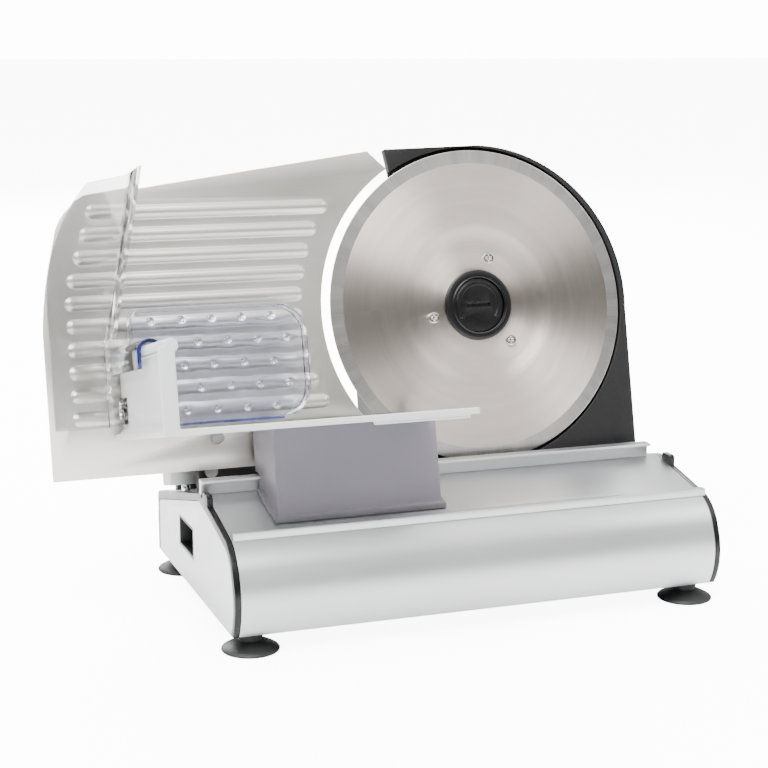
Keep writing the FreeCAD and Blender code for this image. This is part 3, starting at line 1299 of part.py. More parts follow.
HEAD["pusher_saddle"] = pusher_saddle()
HEAD["pusher_plate"] = pusher_plate().cut(HEAD["pusher_saddle"])
GUARD_PINS = guard_screws()
HEAD["thumb_guard"] = thumb_guard().cut(GUARD_PINS)
HEAD["carriage_tray"] = HEAD["carriage_tray"].cut(GUARD_PINS)
HEAD["guard_screws"] = GUARD_PINS
HEAD["thickness_plate"] = HEAD["thickness_plate"].cut(HEAD["plate_screws"])
HEAD["plate_arm"] = HEAD["plate_arm"].cut(HEAD["plate_screws"])
HEAD["motor_cover"] = HEAD["motor_cover"].cut(HEAD["housing_screws"])
LEVEL["bottom_cover"] = LEVEL["bottom_cover"].cut(LEVEL["cover_screws"])


# ---------------------------------------------------------------- assembly
def finished():
    """All nodes in the part's own frame, on the table and centred on their footprint."""
    nodes = dict(LEVEL)
    for name, shape in HEAD.items():
        nodes[name] = lean(shape)
    boxes = [shape.optimalBoundingBox(False, False) for shape in nodes.values()]
    mid_x = (min(b.XMin for b in boxes) + max(b.XMax for b in boxes)) / 2
    mid_y = (min(b.YMin for b in boxes) + max(b.YMax for b in boxes)) / 2
    shift = V(-mid_x, -mid_y, AXIS_HEIGHT)
    for shape in nodes.values():
        shape.translate(shift)
    return nodes, shift


NODES, SHIFT = finished()
os.makedirs("parts", exist_ok=True)
for name, shape in NODES.items():
    shape.exportStep("parts/" + name + ".step")
print(len(NODES), "nodes; blade centre at", [round(c, 3) for c in SHIFT])
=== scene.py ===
import json
import logging
import math
from dataclasses import dataclass
from enum import Enum
from typing import Sequence

import bpy
from mathutils import Matrix, Vector


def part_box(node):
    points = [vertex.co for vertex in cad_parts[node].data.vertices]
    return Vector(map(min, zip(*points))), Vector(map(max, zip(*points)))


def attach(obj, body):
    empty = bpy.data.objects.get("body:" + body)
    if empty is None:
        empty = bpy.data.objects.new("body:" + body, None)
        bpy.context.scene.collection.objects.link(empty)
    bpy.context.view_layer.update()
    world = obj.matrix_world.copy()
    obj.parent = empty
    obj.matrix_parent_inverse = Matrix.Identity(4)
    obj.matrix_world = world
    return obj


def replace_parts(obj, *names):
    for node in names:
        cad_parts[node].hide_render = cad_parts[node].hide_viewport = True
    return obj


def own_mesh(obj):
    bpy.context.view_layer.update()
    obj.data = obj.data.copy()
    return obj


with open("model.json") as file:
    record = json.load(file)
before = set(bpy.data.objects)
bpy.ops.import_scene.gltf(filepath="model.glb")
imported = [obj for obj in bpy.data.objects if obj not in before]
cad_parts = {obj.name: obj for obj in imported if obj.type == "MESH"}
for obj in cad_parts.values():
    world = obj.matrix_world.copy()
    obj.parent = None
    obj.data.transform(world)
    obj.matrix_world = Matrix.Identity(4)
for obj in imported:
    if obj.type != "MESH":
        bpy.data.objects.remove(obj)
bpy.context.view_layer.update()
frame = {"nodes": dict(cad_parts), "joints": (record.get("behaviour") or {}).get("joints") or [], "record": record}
LOG = logging.getLogger("slicer")
MM = 0.001
Point = tuple[float, float]


# ---------------------------------------------------------------- places
def joint(name: str) -> dict:
    """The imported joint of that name."""
    return next(j for j in frame["joints"] if j["name"] == name)


SPIN = joint("blade_spin")
CENTRE = Vector(SPIN["pos_m"])
BACK = Vector(SPIN["axis"]).normalized()
LEAN = math.atan2(-BACK.z, BACK.y)
HEAD = Matrix.Translation(CENTRE) @ Matrix.Rotation(-LEAN, 4, "X")
LEVEL = Matrix.Translation(CENTRE)


class Lay(Enum):
    """Which way a grain's own axes lie: with the level base or with the leaning head."""

    LEVEL = 0
    HEAD = 1


def span(node: str, lay: Matrix = LEVEL) -> tuple[Vector, Vector]:
    """Extent of a CAD node in the level or the head's own axes, from the blade's centre.

    Args:
        node: name of the CAD node.
        lay: LEVEL or HEAD.

    Returns:
        Lowest and highest corner, in metres.
    """
    back = lay.inverted()
    points = [back @ v.co for v in frame["nodes"][node].data.vertices]
    low = Vector([min(p[i] for p in points) for i in range(3)])
    high = Vector([max(p[i] for p in points) for i in range(3)])
    return low, high


# ---------------------------------------------------------------- finishes
def linear(hex_colour: str) -> tuple[float, float, float, float]:
    """Linear colour of an sRGB hex value such as "c8c3be"."""
    channels = [int(hex_colour[i:i + 2], 16) / 255.0 for i in (0, 2, 4)]
    out = [c / 12.92 if c <= 0.04045 else ((c + 0.055) / 1.055) ** 2.4 for c in channels]
    return out[0], out[1], out[2], 1.0


def add(tree: bpy.types.NodeTree, kind: str, sockets: dict | None = None,
    **settings: object) -> bpy.types.Node:
    """Adds a node with its settings, and links or sets its sockets.

    Args:
        tree: node tree to add to.
        kind: type of the node, such as "ShaderNodeBump".
        sockets: socket name or number, with a value or another node's output.
        settings: the node's own properties.

    Returns:
        The new node.
    """
    node = tree.nodes.new(kind)
    for key, value in settings.items():
        setattr(node, key, value)
    for key, value in (sockets or {}).items():
        if isinstance(value, bpy.types.NodeSocket):
            tree.links.new(value, node.inputs[key])
        else:
            node.inputs[key].default_value = value
    return node


def blank(name: str) -> tuple[bpy.types.Material, bpy.types.NodeTree]:
    """A new material and its emptied node tree."""
    material = bpy.data.materials.new(name)
    material.use_nodes = True
    material.node_tree.nodes.clear()
    return material, material.node_tree


@dataclass(frozen=True)
class Finish:
    """A plain surface with a grain: its colour, gloss and the size and depth of the grain.

    The grain is a noise whose cell is grain_mm wide along each axis, so that a long cell
    gives a brushed line and an even one gives a moulded or cast texture.  Tone is how far
    the colour wanders over patch_mm, and wear how far the roughness does.
    """

    name: str
    colour: str
    metallic: float = 0.0
    roughness: float = 0.5
    ior: float = 1.5
    grain_mm: tuple[float, float, float] = (0.6, 0.6, 0.6)
    depth_mm: float = 0.02
    tone: float = 0.04
    grain_tone: float = 0.0
    patch_mm: float = 45.0
    wear: float = 0.08
    lay: Lay = Lay.LEVEL
    coat: float = 0.0
    anisotropy: float = 0.0

    def build(self) -> bpy.types.Material:
        """Makes the material.

        Returns:
            The material, with its nodes.
        """
        material, tree = blank(self.name)
        spot = add(tree, "ShaderNodeTexCoord").outputs["Object"]
        turn = LEAN if self.lay is Lay.HEAD else 0.0
        lay = add(tree, "ShaderNodeMapping", {"Vector": spot, "Rotation": (turn, 0.0, 0.0)}).outputs["Vector"]
        cells = tuple(1.0 / (MM * size) for size in self.grain_mm)
        fine = add(tree, "ShaderNodeMapping", {"Vector": lay, "Scale": cells}).outputs["Vector"]
        grain = add(tree, "ShaderNodeTexNoise", {"Vector": fine, "Scale": 1.0, "Detail": 3.0,
            "Roughness": 0.6})
        patch = add(tree, "ShaderNodeTexNoise", {"Vector": lay, "Scale": 1.0 / (MM * self.patch_mm),
            "Detail": 4.0})
        base = linear(self.colour)
        dark = tuple(c * (1.0 - self.tone) for c in base[:3]) + (1.0,)
        light = tuple(min(1.0, c * (1.0 + self.tone)) for c in base[:3]) + (1.0,)
        tint = add(tree, "ShaderNodeMix", {"Factor": patch.outputs["Fac"], 6: dark, 7: light},
            data_type="RGBA")
        colour = tint.outputs[2]
        if self.grain_tone:
            speck = add(tree, "ShaderNodeMapRange", {
                "Value": grain.outputs["Fac"], "From Min": 0.3, "From Max": 0.7,
                "To Min": 1.0 - self.grain_tone, "To Max": 1.0 + self.grain_tone})
            scaled = add(tree, "ShaderNodeVectorMath", {0: colour}, operation="SCALE")
            tree.links.new(speck.outputs["Result"], scaled.inputs["Scale"])
            colour = scaled.outputs["Vector"]
        rough = add(tree, "ShaderNodeMapRange", {
            "Value": patch.outputs["Fac"], "From Min": 0.3, "From Max": 0.7,
            "To Min": max(0.03, self.roughness - self.wear), "To Max": min(1.0,
                self.roughness + self.wear)})
        bump = add(tree, "ShaderNodeBump", {
            "Height": grain.outputs["Fac"], "Strength": 1.0, "Distance": MM * self.depth_mm})
        shader = add(tree, "ShaderNodeBsdfPrincipled", {
            "Base Color": colour, "Metallic": self.metallic, "Roughness": rough.outputs["Result"],
            "Normal": bump.outputs["Normal"], "Coat Weight": self.coat, "Coat Roughness": 0.08,
            "Anisotropic": self.anisotropy})
        if not self.metallic:
            shader.inputs["IOR"].default_value = self.ior
        if self.anisotropy:
            normal = add(tree, "ShaderNodeNewGeometry").outputs["Normal"]
            across = add(tree, "ShaderNodeVectorMath", {0: normal, 1: (1.0, 0.0, 0.0)},
                operation="CROSS_PRODUCT")
            tree.links.new(across.outputs["Vector"], shader.inputs["Tangent"])
        add(tree, "ShaderNodeOutputMaterial", {"Surface": shader.outputs["BSDF"]})
        return material


@dataclass(frozen=True)
class TurnedSteel:
    """Stainless sheet ground on a turntable: fine rings round the blade's axis."""

    name: str
    colour: str
    roughness: float
    ring_mm: float
    depth_mm: float
    ring_tone: float
    rays: bool = False
    anisotropy: float = 0.0

    def build(self) -> bpy.types.Material:
        """Makes the material.

        Returns:
            The material, with its nodes.
        """
        material, tree = blank(self.name)
        spot = add(tree, "ShaderNodeTexCoord").outputs["Object"]
        moved = add(tree, "ShaderNodeVectorMath", {0: spot, 1: tuple(CENTRE)},
            operation="SUBTRACT").outputs[0]
        local = add(tree, "ShaderNodeMapping", {"Vector": moved, "Rotation": (LEAN, 0.0,
            0.0)}).outputs["Vector"]
        parts = add(tree, "ShaderNodeSeparateXYZ", {"Vector": local})
        flat = add(tree, "ShaderNodeCombineXYZ", {"X": parts.outputs["X"],
            "Z": parts.outputs["Z"]}).outputs["Vector"]
        radius = add(tree, "ShaderNodeVectorMath", {0: flat}, operation="LENGTH").outputs["Value"]
        angle = add(tree, "ShaderNodeMath", {0: parts.outputs["Z"], 1: parts.outputs["X"]},
            operation="ARCTAN2").outputs[0]
        around, across = (110.0, 0.02) if self.rays else (1.6, 1.0)
        turns = add(tree, "ShaderNodeMath", {0: angle, 1: around}, operation="MULTIPLY").outputs[0]
        rings = add(tree, "ShaderNodeMath", {0: radius, 1: across / (MM * self.ring_mm)},
            operation="MULTIPLY").outputs[0]
        pair = add(tree, "ShaderNodeCombineXYZ", {"X": rings, "Y": turns}).outputs["Vector"]
        lines = add(tree, "ShaderNodeTexNoise", {"Vector": pair, "Scale": 1.0, "Detail": 5.0,
            "Roughness": 0.7})
        broad = add(tree, "ShaderNodeTexNoise", {"Vector": pair, "Scale": 0.09, "Detail": 3.0})
        both = add(tree, "ShaderNodeMath", {0: lines.outputs["Fac"], 1: broad.outputs["Fac"]},
            operation="ADD").outputs[0]
        shade = add(tree, "ShaderNodeMapRange", {
            "Value": both, "From Min": 0.7, "From Max": 1.3,
            "To Min": 1.0 - self.ring_tone, "To Max": 1.0 + self.ring_tone})
        colour = add(tree, "ShaderNodeVectorMath", {0: linear(self.colour)[:3]}, operation="SCALE")
        tree.links.new(shade.outputs["Result"], colour.inputs["Scale"])
        rough = add(tree, "ShaderNodeMapRange", {
            "Value": lines.outputs["Fac"], "From Min": 0.3, "From Max": 0.7,
            "To Min": self.roughness - 0.05, "To Max": self.roughness + 0.07})
        bump = add(tree, "ShaderNodeBump", {
            "Height": lines.outputs["Fac"], "Strength": 1.0, "Distance": MM * self.depth_mm})
        shader = add(tree, "ShaderNodeBsdfPrincipled", {
            "Base Color": colour.outputs["Vector"], "Metallic": 1.0, "Roughness": rough.outputs["Result"],
            "Normal": bump.outputs["Normal"], "Anisotropic": self.anisotropy, "Tangent": moved})
        add(tree, "ShaderNodeOutputMaterial", {"Surface": shader.outputs["BSDF"]})
        return material


@dataclass(frozen=True)
class ClearPlastic:
    """Moulded clear styrene or acrylic: polished, with faint flow marks and a tint that its edges gather."""

    name: str
    tint: str
    roughness: float = 0.04
    ior: float = 1.49
    flow_mm: float = 18.0

    def build(self) -> bpy.types.Material:
        """Makes the material.

        Returns:
            The material, with its nodes.
        """
        material, tree = blank(self.name)
        spot = add(tree, "ShaderNodeTexCoord").outputs["Object"]
        flow = add(tree, "ShaderNodeTexNoise", {"Vector": spot, "Scale": 1.0 / (MM * self.flow_mm),
            "Detail": 2.0})
        rough = add(tree, "ShaderNodeMapRange", {
            "Value": flow.outputs["Fac"], "From Min": 0.35, "From Max": 0.65,
            "To Min": self.roughness, "To Max": self.roughness + 0.05})
        bump = add(tree, "ShaderNodeBump", {
            "Height": flow.outputs["Fac"], "Strength": 0.6, "Distance": 0.15 * MM})
        shader = add(tree, "ShaderNodeBsdfPrincipled", {
            "Base Color": linear(self.tint), "Roughness": rough.outputs["Result"], "IOR": self.ior,
            "Transmission Weight": 1.0, "Normal": bump.outputs["Normal"]})
        add(tree, "ShaderNodeOutputMaterial", {"Surface": shader.outputs["BSDF"]})
        return material


# Anodised extrusion: satin, with draw lines along its length.
SATIN_ALUMINIUM = Finish("satin_anodised_aluminium", "c9cacb", 1.0, 0.36, grain_mm=(70.0, 0.35, 0.35),
                         depth_mm=0.006, tone=0.02, wear=0.03, patch_mm=120.0, anisotropy=0.45)
# Brushed sheet: a little warmer and rougher, brushed across the plate.
BRUSHED_SHEET = Finish("brushed_aluminium_sheet", "cfcac4", 1.0, 0.36, grain_mm=(40.0, 0.4, 0.4),
    depth_mm=0.008,
                       tone=0.03, grain_tone=0.03, wear=0.04, patch_mm=90.0, lay=Lay.HEAD, anisotropy=0.4)
# Die-cast aluminium: dull and slightly pebbled.
CAST_ALUMINIUM = Finish("die_cast_aluminium", "a9abab", 1.0, 0.5, grain_mm=(1.2, 1.2, 1.2),
    depth_mm=0.05, wear=0.06)
# Bright zinc on steel: cool, cloudy.
ZINC_STEEL = Finish("zinc_plated_steel", "b4b7ba", 1.0, 0.3, grain_mm=(2.0, 2.0, 2.0), depth_mm=0.01,
    tone=0.08, patch_mm=9.0)
# Polished stainless rod and screws.
BRIGHT_STEEL = Finish("polished_stainless", "cfcdca", 1.0, 0.16, grain_mm=(6.0, 0.3, 6.0),
    depth_mm=0.003, wear=0.04)
# Spark-textured black ABS shell: matt with bright pin-points of gloss.
SPARK_ABS = Finish("spark_textured_black_abs", "0b0b0c", 0.0, 0.5, 1.38, grain_mm=(0.9, 0.9, 0.9),
    depth_mm=0.16,
                   tone=0.10, grain_tone=0.25, wear=0.05)
# Smooth black ABS: hub, switch, caps.
SMOOTH_ABS = Finish("smooth_black_abs", "09090a", 0.0, 0.3, 1.4, grain_mm=(3.0, 3.0, 3.0), depth_mm=0.01,
                    tone=0.08, wear=0.05)
# Grey ABS foot of the carriage: even semi-gloss. Its grey is set darker than the tray's, partly its own colour and
# partly painted shade from the tray's overhang.
GREY_ABS_WITH_PAINTED_SHADE = Finish("semi_gloss_grey_abs_with_painted_shade", "716e76", 0.0, 0.34, 1.53, grain_mm=(1.4, 1.4, 1.4),
    depth_mm=0.014,
                  tone=0.02, wear=0.03)
# Pale grey ABS tray: satin.
PALE_ABS = Finish("satin_pale_grey_abs", "b9bcba", 0.0, 0.4, 1.53, grain_mm=(1.1, 1.1, 1.1),
    depth_mm=0.012,
                  tone=0.02, wear=0.04)
# Moulded rubber: dull black with a bloom.
RUBBER = Finish("moulded_black_rubber", "141415", 0.0, 0.5, 1.45, grain_mm=(1.6, 1.6, 1.6),
    depth_mm=0.02, tone=0.15, wear=0.1)
# Nylon: milky, waxy.
NYLON = Finish("natural_nylon", "d9d6c8", 0.0, 0.42, 1.53, grain_mm=(2.0, 2.0, 2.0), depth_mm=0.01)
# Sintered bronze with its pores.
BRONZE = Finish("sintered_bronze", "a6814c", 1.0, 0.45, grain_mm=(0.5, 0.5, 0.5), depth_mm=0.02, tone=0.1)
# Enamelled copper wire, drawn as its winding lines.
COPPER = Finish("enamelled_copper", "a55a32", 1.0, 0.35, grain_mm=(0.5, 30.0, 0.5), depth_mm=0.1)
# Motor carbon.
CARBON = Finish("pressed_carbon", "242424", 0.0, 0.6, 1.6, grain_mm=(0.4, 0.4, 0.4), depth_mm=0.02)
# Blade face: turned rings with the bow-tie shine of a ground disc.
BLADE_FACE = TurnedSteel("turned_stainless_blade", "cbc1b9", 0.36, 0.5, 0.012, 0.09, anisotropy=0.93)
# Cutting bevel: ground square to the edge, so its lines run out like rays.
BLADE_BEVEL = TurnedSteel("ground_blade_bevel", "a3a19e", 0.34, 0.8, 0.020, 0.16, rays=True)
# Clear styrene with a blue cast.
CLEAR_BLUE = ClearPlastic("clear_blue_styrene", "f1f4ff")
# Clear guard, thinner in colour.
CLEAR_GUARD = ClearPlastic("clear_styrene", "f6f8f8")
# Painted refraction: deep blue standing in for the colour that the clear plastic's edges show as light bends through
# them.
PAINTED_REFRACTION_BLUE = ClearPlastic("painted_refraction_blue_edge", "4a52b8", 0.08)


# ---------------------------------------------------------------- shaping
FACE = Matrix.Translation(CENTRE) @ Matrix.Rotation(math.pi / 2 - LEAN, 4, "X")
BODIES = {node: body for body, nodes in frame["record"]["behaviour"]["bodies"].items() for node in nodes}
MATERIALS: dict[str, bpy.types.Material] = {}


def material_of(finish: Finish | TurnedSteel | ClearPlastic) -> bpy.types.Material:
    """The finish's material, made once."""
    if finish.name not in MATERIALS:
        MATERIALS[finish.name] = finish.build()
    return MATERIALS[finish.name]


def choose(piece: bpy.types.Object) -> None:
    """Selects one object alone and makes it the active one."""
    bpy.ops.object.select_all(action="DESELECT")
    piece.select_set(True)
    bpy.context.view_layer.objects.active = piece


def started(name: str) -> bpy.types.Object:
    """The primitive that was just added, named and chosen."""
    piece = bpy.context.view_layer.objects.active
    piece.name = name
    piece.data.name = name
    choose(piece)
    return piece


def turned(name: str, profile: Sequence[Point], sides: int = 128,
    closed: bool = False) -> bpy.types.Object:
    """A round piece, made as a ring extruded from point to point of its profile.

    Args:
        name: name of the piece.
        profile: (radius, height) of each ring, in metres, about local Z.
        sides: number of points round each ring.
        closed: whether the last ring meets the first, as on a ring with a hole.

    Returns:
        The piece, about the origin.
    """
    bpy.ops.object.select_all(action="DESELECT")
    radius, height = profile[0]
    bpy.ops.mesh.primitive_circle_add(vertices=sides, radius=radius, location=(0.0, 0.0, 0.0),
        fill_type="NOTHING")
    piece = started(name)
    bpy.ops.object.mode_set(mode="EDIT")
    bpy.ops.mesh.select_all(action="SELECT")
    bpy.ops.transform.translate(value=(0.0, 0.0, height))
    rings = list(profile[1:]) + ([profile[0]] if closed else [])
    for next_radius, next_height in rings:
        bpy.ops.mesh.extrude_region_move(TRANSFORM_OT_translate={"value": (0.0, 0.0,
            next_height - height)})
        share = next_radius / radius
        bpy.ops.transform.resize(value=(share, share, 1.0), center_override=(0.0, 0.0, next_height))
        radius, height = next_radius, next_height
    bpy.ops.mesh.select_all(action="SELECT")
    bpy.ops.mesh.remove_doubles(threshold=1e-6)
    if not closed:
        bpy.ops.mesh.fill_holes(sides=0)
    bpy.ops.mesh.select_all(action="SELECT")
    bpy.ops.mesh.normals_make_consistent(inside=False)
    bpy.ops.object.mode_set(mode="OBJECT")
    return piece


def slab(name: str, low: Vector, high: Vector) -> bpy.types.Object:
    """A block between two corners, ready to be shaped further."""
    bpy.ops.object.select_all(action="DESELECT")
    bpy.ops.mesh.primitive_cube_add(size=1.0, location=(low + high) / 2, scale=tuple(high - low))
    piece = started(name)
    bpy.ops.object.transform_apply(location=True, rotation=True, scale=True)
    return piece


def rounded(piece: bpy.types.Object, width: float, segments: int = 3, limit: float = 30.0) -> None:
    """Rounds a piece's sharp edges with an applied bevel."""
    choose(piece)
    edge = piece.modifiers.new("edges", "BEVEL")
    edge.width = width
    edge.segments = segments
    edge.limit_method = "ANGLE"
    edge.angle_limit = math.radians(limit)
    edge.use_clamp_overlap = False
    edge.miter_outer = "MITER_ARC"
    bpy.ops.object.modifier_apply(modifier=edge.name)


def smoothed(piece: bpy.types.Object, angle: float = 32.0) -> None:
    """Smooth shading over all but the sharp edges."""
    choose(piece)
    bpy.ops.object.shade_smooth_by_angle(angle=math.radians(angle))


def moved(piece: bpy.types.Object, place: Matrix) -> bpy.types.Object:
    """Puts a piece's place into its mesh and leaves its object at the origin."""
    piece.data.transform(place)
    piece.matrix_world = Matrix.Identity(4)
    return piece


def settle(piece: bpy.types.Object, node: str, finish: Finish | TurnedSteel | ClearPlastic,
           stands_for: bool = True) -> bpy.types.Object:
    """Gives a piece its finish and lets it ride with a CAD node's body.

    Args:
        piece: the finished mesh, in place.
        node: the CAD node whose body and slot it takes.
        finish: what it is made of.
        stands_for: whether it is shown in place of that node.

    Returns:
        The piece.
    """
    if not piece.data.materials:
        piece.data.materials.append(material_of(finish))
    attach(piece, BODIES[node])
    if stands_for:
        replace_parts(piece, node)
    LOG.info("%s: %d faces", piece.name, len(piece.data.polygons))
    return piece


def traced(name: str, node: str) -> bpy.types.Object:
    """A copy of a CAD node with its loose triangles merged and its flat faces made whole.

    Args:
        name: name of the new piece.
        node: the CAD node.

    Returns:
        The copy, in place.
    """
    piece = bpy.data.objects.new(name, frame["nodes"][node].data.copy())
    bpy.context.scene.collection.objects.link(piece)
    piece.data.materials.clear()
    choose(piece)
    bpy.ops.object.mode_set(mode="EDIT")
    bpy.ops.mesh.select_all(action="SELECT")
    bpy.ops.mesh.remove_doubles(threshold=2e-6)
    bpy.ops.mesh.dissolve_limited(angle_limit=math.radians(0.15))
    bpy.ops.object.mode_set(mode="OBJECT")
    return piece


def dressed(node: str, finish: Finish | TurnedSteel | ClearPlastic, edge_mm: float = 0.5,
            segments: int = 2, limit: float = 30.0) -> bpy.types.Object:
    """A CAD node with its edges rounded as the real moulding or casting has them.

    Args:
        node: the CAD node, which the piece stands for.
        finish: what it is made of.
        edge_mm: size of the rounding.
        segments: steps of the rounding.
        limit: sharpest bend, in degrees, that stays as it is.

    Returns:
        The piece.
    """
    piece = traced(f"{node}_skin", node)
    if edge_mm:
        rounded(piece, edge_mm * MM, segments, limit)
    smoothed(piece)
    return settle(piece, node, finish)


def painted(node: str, finish: Finish | TurnedSteel | ClearPlastic) -> None:
    """Gives a CAD node that is shown as it is its finish."""
    for material_slot in frame["nodes"][node].material_slots:
        material_slot.material = material_of(finish)


# ---------------------------------------------------------------- blade set
@dataclass
class BladeSet:
    """Blade, hub ring, lock and screws, turned about the head's own front-facing axis."""

    bevel: float = 8.0 * MM
    slope_out: float = 51.0 * MM
    slope_in: float = 39.0 * MM
    ring_out: float = 21.5 * MM
    ring_in: float = 16.7 * MM

    def build(self) -> None:
        """Makes the blade's visible pieces."""
        self.blade()
        self.hub()
        self.lock()
        dressed("blade_screws", BRIGHT_STEEL, 0.25)
        for node in ("drive_gear", "spindle_bush", "spindle"):
            painted(node, {"drive_gear": NYLON, "spindle_bush": BRONZE, "spindle": BRIGHT_STEEL}[node])

    def blade(self) -> None:
        """Dished disc: flat face, soft slope down to the hub, and a ground bevel."""
        low, high = span("blade", HEAD)
        edge = (high.x - low.x) / 2
        back = -high.y
        front = -low.y
        deep = back + 1.3 * MM
        slope = []
        for step in range(9):
            share = step / 8.0
            ease = share * share * (3.0 - 2.0 * share)
            radius = self.slope_in + (self.slope_out - self.slope_in) * share
            slope.append((radius, deep + (front - 0.5 * MM - deep) * ease))
        profile = [(self.ring_in + 2.2 * MM, deep)] + slope + [
            (edge - self.bevel - 0.4 * MM, front - 0.2 * MM), (edge - self.bevel, front - 0.26 * MM),
            (edge - 0.4 * MM, front - 1.0 * MM), (edge, front - 1.15 * MM), (edge - 0.5 * MM,
                front - 1.3 * MM),
            (self.slope_out, front - 1.8 * MM), (self.slope_in, back), (self.ring_in + 2.2 * MM, back)]
        piece = turned("blade_disc", profile, 256, closed=True)
        moved(piece, FACE)
        piece.data.materials.append(material_of(BLADE_FACE))
        piece.data.materials.append(material_of(BLADE_BEVEL))
        for face in piece.data.polygons:
            spot = HEAD.inverted() @ face.center
            if math.hypot(spot.x, spot.z) > edge - self.bevel:
                face.material_index = 1
        smoothed(piece, 12.0)
        settle(piece, "blade", BLADE_FACE)

    def hub(self) -> None:
        """Black ring with a rounded shoulder and a groove."""
        low, high = span("hub_ring", HEAD)
        front, back = -low.y, -high.y
        seat = front - 3.4 * MM
        profile = [
            (self.ring_out, seat), (self.ring_out, front - 1.0 * MM), (self.ring_out - 0.3 * MM,
                front - 0.35 * MM),
            (self.ring_out - 1.0 * MM, front), (self.ring_in + 1.5 * MM, front),
            (self.ring_in + 1.1 * MM, front - 0.5 * MM), (self.ring_in + 0.7 * MM, front - 0.5 * MM),
            (self.ring_in + 0.1 * MM, front - 0.1 * MM), (self.ring_in, front - 0.6 * MM), (self.ring_in,
                back),
            (self.ring_in + 2.0 * MM, back), (self.ring_in + 2.0 * MM, seat)]
        piece = turned("hub_collar", profile, 160, closed=True)
        moved(piece, FACE)
        smoothed(piece, 35.0)
        settle(piece, "hub_ring", SMOOTH_ABS)

    def lock(self) -> None:
        """Turning lock: the CAD disc with its lip and slot, its edges softened."""
        dressed("blade_lock", SMOOTH_ABS, 0.3, 3)


# ---------------------------------------------------------------- housing and works
@dataclass
class Housing:
    """The two black shells behind the blade and what turns inside them."""

    def build(self) -> None:
        """Makes the shells and finishes the works."""
        dressed("gear_housing", SPARK_ABS, 0.9, 3, 40.0)
        dressed("motor_cover", SPARK_ABS, 0.0)
        dressed("housing_screws", ZINC_STEEL, 0.2)
        inner = {
            "worm": BRIGHT_STEEL, "motor_shaft": BRIGHT_STEEL, "armature": ZINC_STEEL, "stator": ZINC_STEEL,
            "field_coils": COPPER, "inner_bracket": ZINC_STEEL, "outer_bracket": ZINC_STEEL,
            "motor_bearings": BRONZE, "worm_pillow": CAST_ALUMINIUM, "brushes": CARBON,
            "cooling_fan": SMOOTH_ABS, "spindle_bearer": CAST_ALUMINIUM}
        for node, finish in inner.items():
            painted(node, finish)


# ---------------------------------------------------------------- base
@dataclass
class Base:
    """Extruded base with its end caps, face plates, rails, switch and suction feet."""

    def build(self) -> None:
        """Makes the base's pieces."""
        dressed("base_extrusion", SATIN_ALUMINIUM, 0.5, 3, 35.0)
        dressed("rear_rail", SATIN_ALUMINIUM, 0.4, 2)
        dressed("front_rail", SATIN_ALUMINIUM, 0.5, 3)
        for side in ("left", "right"):
            dressed(f"{side}_end_cap", SMOOTH_ABS, 0.5, 3, 35.0)
            dressed(f"{side}_face_plate", SATIN_ALUMINIUM, 0.25, 2)
        dressed("bottom_cover", ZINC_STEEL, 0.3)
        dressed("cover_screws", ZINC_STEEL, 0.2)
        dressed("switch_bezel", SMOOTH_ABS, 0.4, 3)
        dressed("power_rocker", SMOOTH_ABS, 0.4, 3)
        painted("switch_body", SMOOTH_ABS)
        painted("foot_studs", ZINC_STEEL)
        dressed("cord_bush", RUBBER, 0.4, 3)
        for corner in ("front_left", "rear_left", "front_right", "rear_right"):
            self.foot(f"{corner}_foot")

    def foot(self, node: str) -> None:
        """Suction foot: a stepped neck over a thin skirt with a bead round its rim, hollow below.

        Args:
            node: the CAD foot.
        """
        low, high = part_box(node)
        rim = (high.x - low.x) / 2
        tall = high.z - low.z
        neck = rim * 0.48
        profile = [
            (2.0 * MM, tall), (neck, tall), (neck, tall - 2.0 * MM), (neck - 0.8 * MM, tall - 2.6 * MM),
            (neck - 1.4 * MM, 6.2 * MM), (neck + 0.4 * MM, 5.2 * MM), (rim * 0.72, 3.9 * MM), (rim * 0.9,
                2.4 * MM),
            (rim - 0.5 * MM, 1.7 * MM), (rim, 1.1 * MM), (rim, 0.5 * MM), (rim - 0.4 * MM, 0.0),
            (rim - 1.5 * MM, 0.0), (rim * 0.8, 1.2 * MM), (rim * 0.5, 2.6 * MM), (2.0 * MM, 3.3 * MM)]
        piece = turned(f"{node}_cup", profile, 96)
        moved(piece, Matrix.Translation(((low.x + high.x) / 2, (low.y + high.y) / 2, low.z)))
        smoothed(piece, 38.0)
        settle(piece, node, RUBBER)


# ---------------------------------------------------------------- thickness plate
@dataclass
class ThicknessPlate:
    """Ribbed plate, the bracket behind it and the slide that sets the slice."""

    keep: float = 0.31

    def build(self) -> None:
        """Makes the plate's pieces."""
        dressed("thickness_plate", BRUSHED_SHEET, 0.55, 3, 25.0)
        dressed("plate_arm", CAST_ALUMINIUM, 0.8, 3)
        for node in ("front_rod_block", "rear_rod_block"):
            dressed(node, SPARK_ABS, 0.5, 2)
        dressed("thickness_knob", SMOOTH_ABS, 0.6, 3, 35.0)
        for node in ("plate_screws", "block_screws", "glide_stud"):
            dressed(node, BRIGHT_STEEL, 0.2)
        for node in ("guide_rods", "adjusting_screw", "slide_springs"):
            painted(node, BRIGHT_STEEL)
        painted("slide_bushes", BRONZE)
        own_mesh(self.springs())

    def springs(self) -> bpy.types.Object:
        """The coil springs, which shorten as the plate goes back."""
        piece = traced("return_springs", "slide_springs")
        smoothed(piece)
        piece.data.materials.append(material_of(BRIGHT_STEEL))
        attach(piece, "base")
        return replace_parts(piece, "slide_springs")


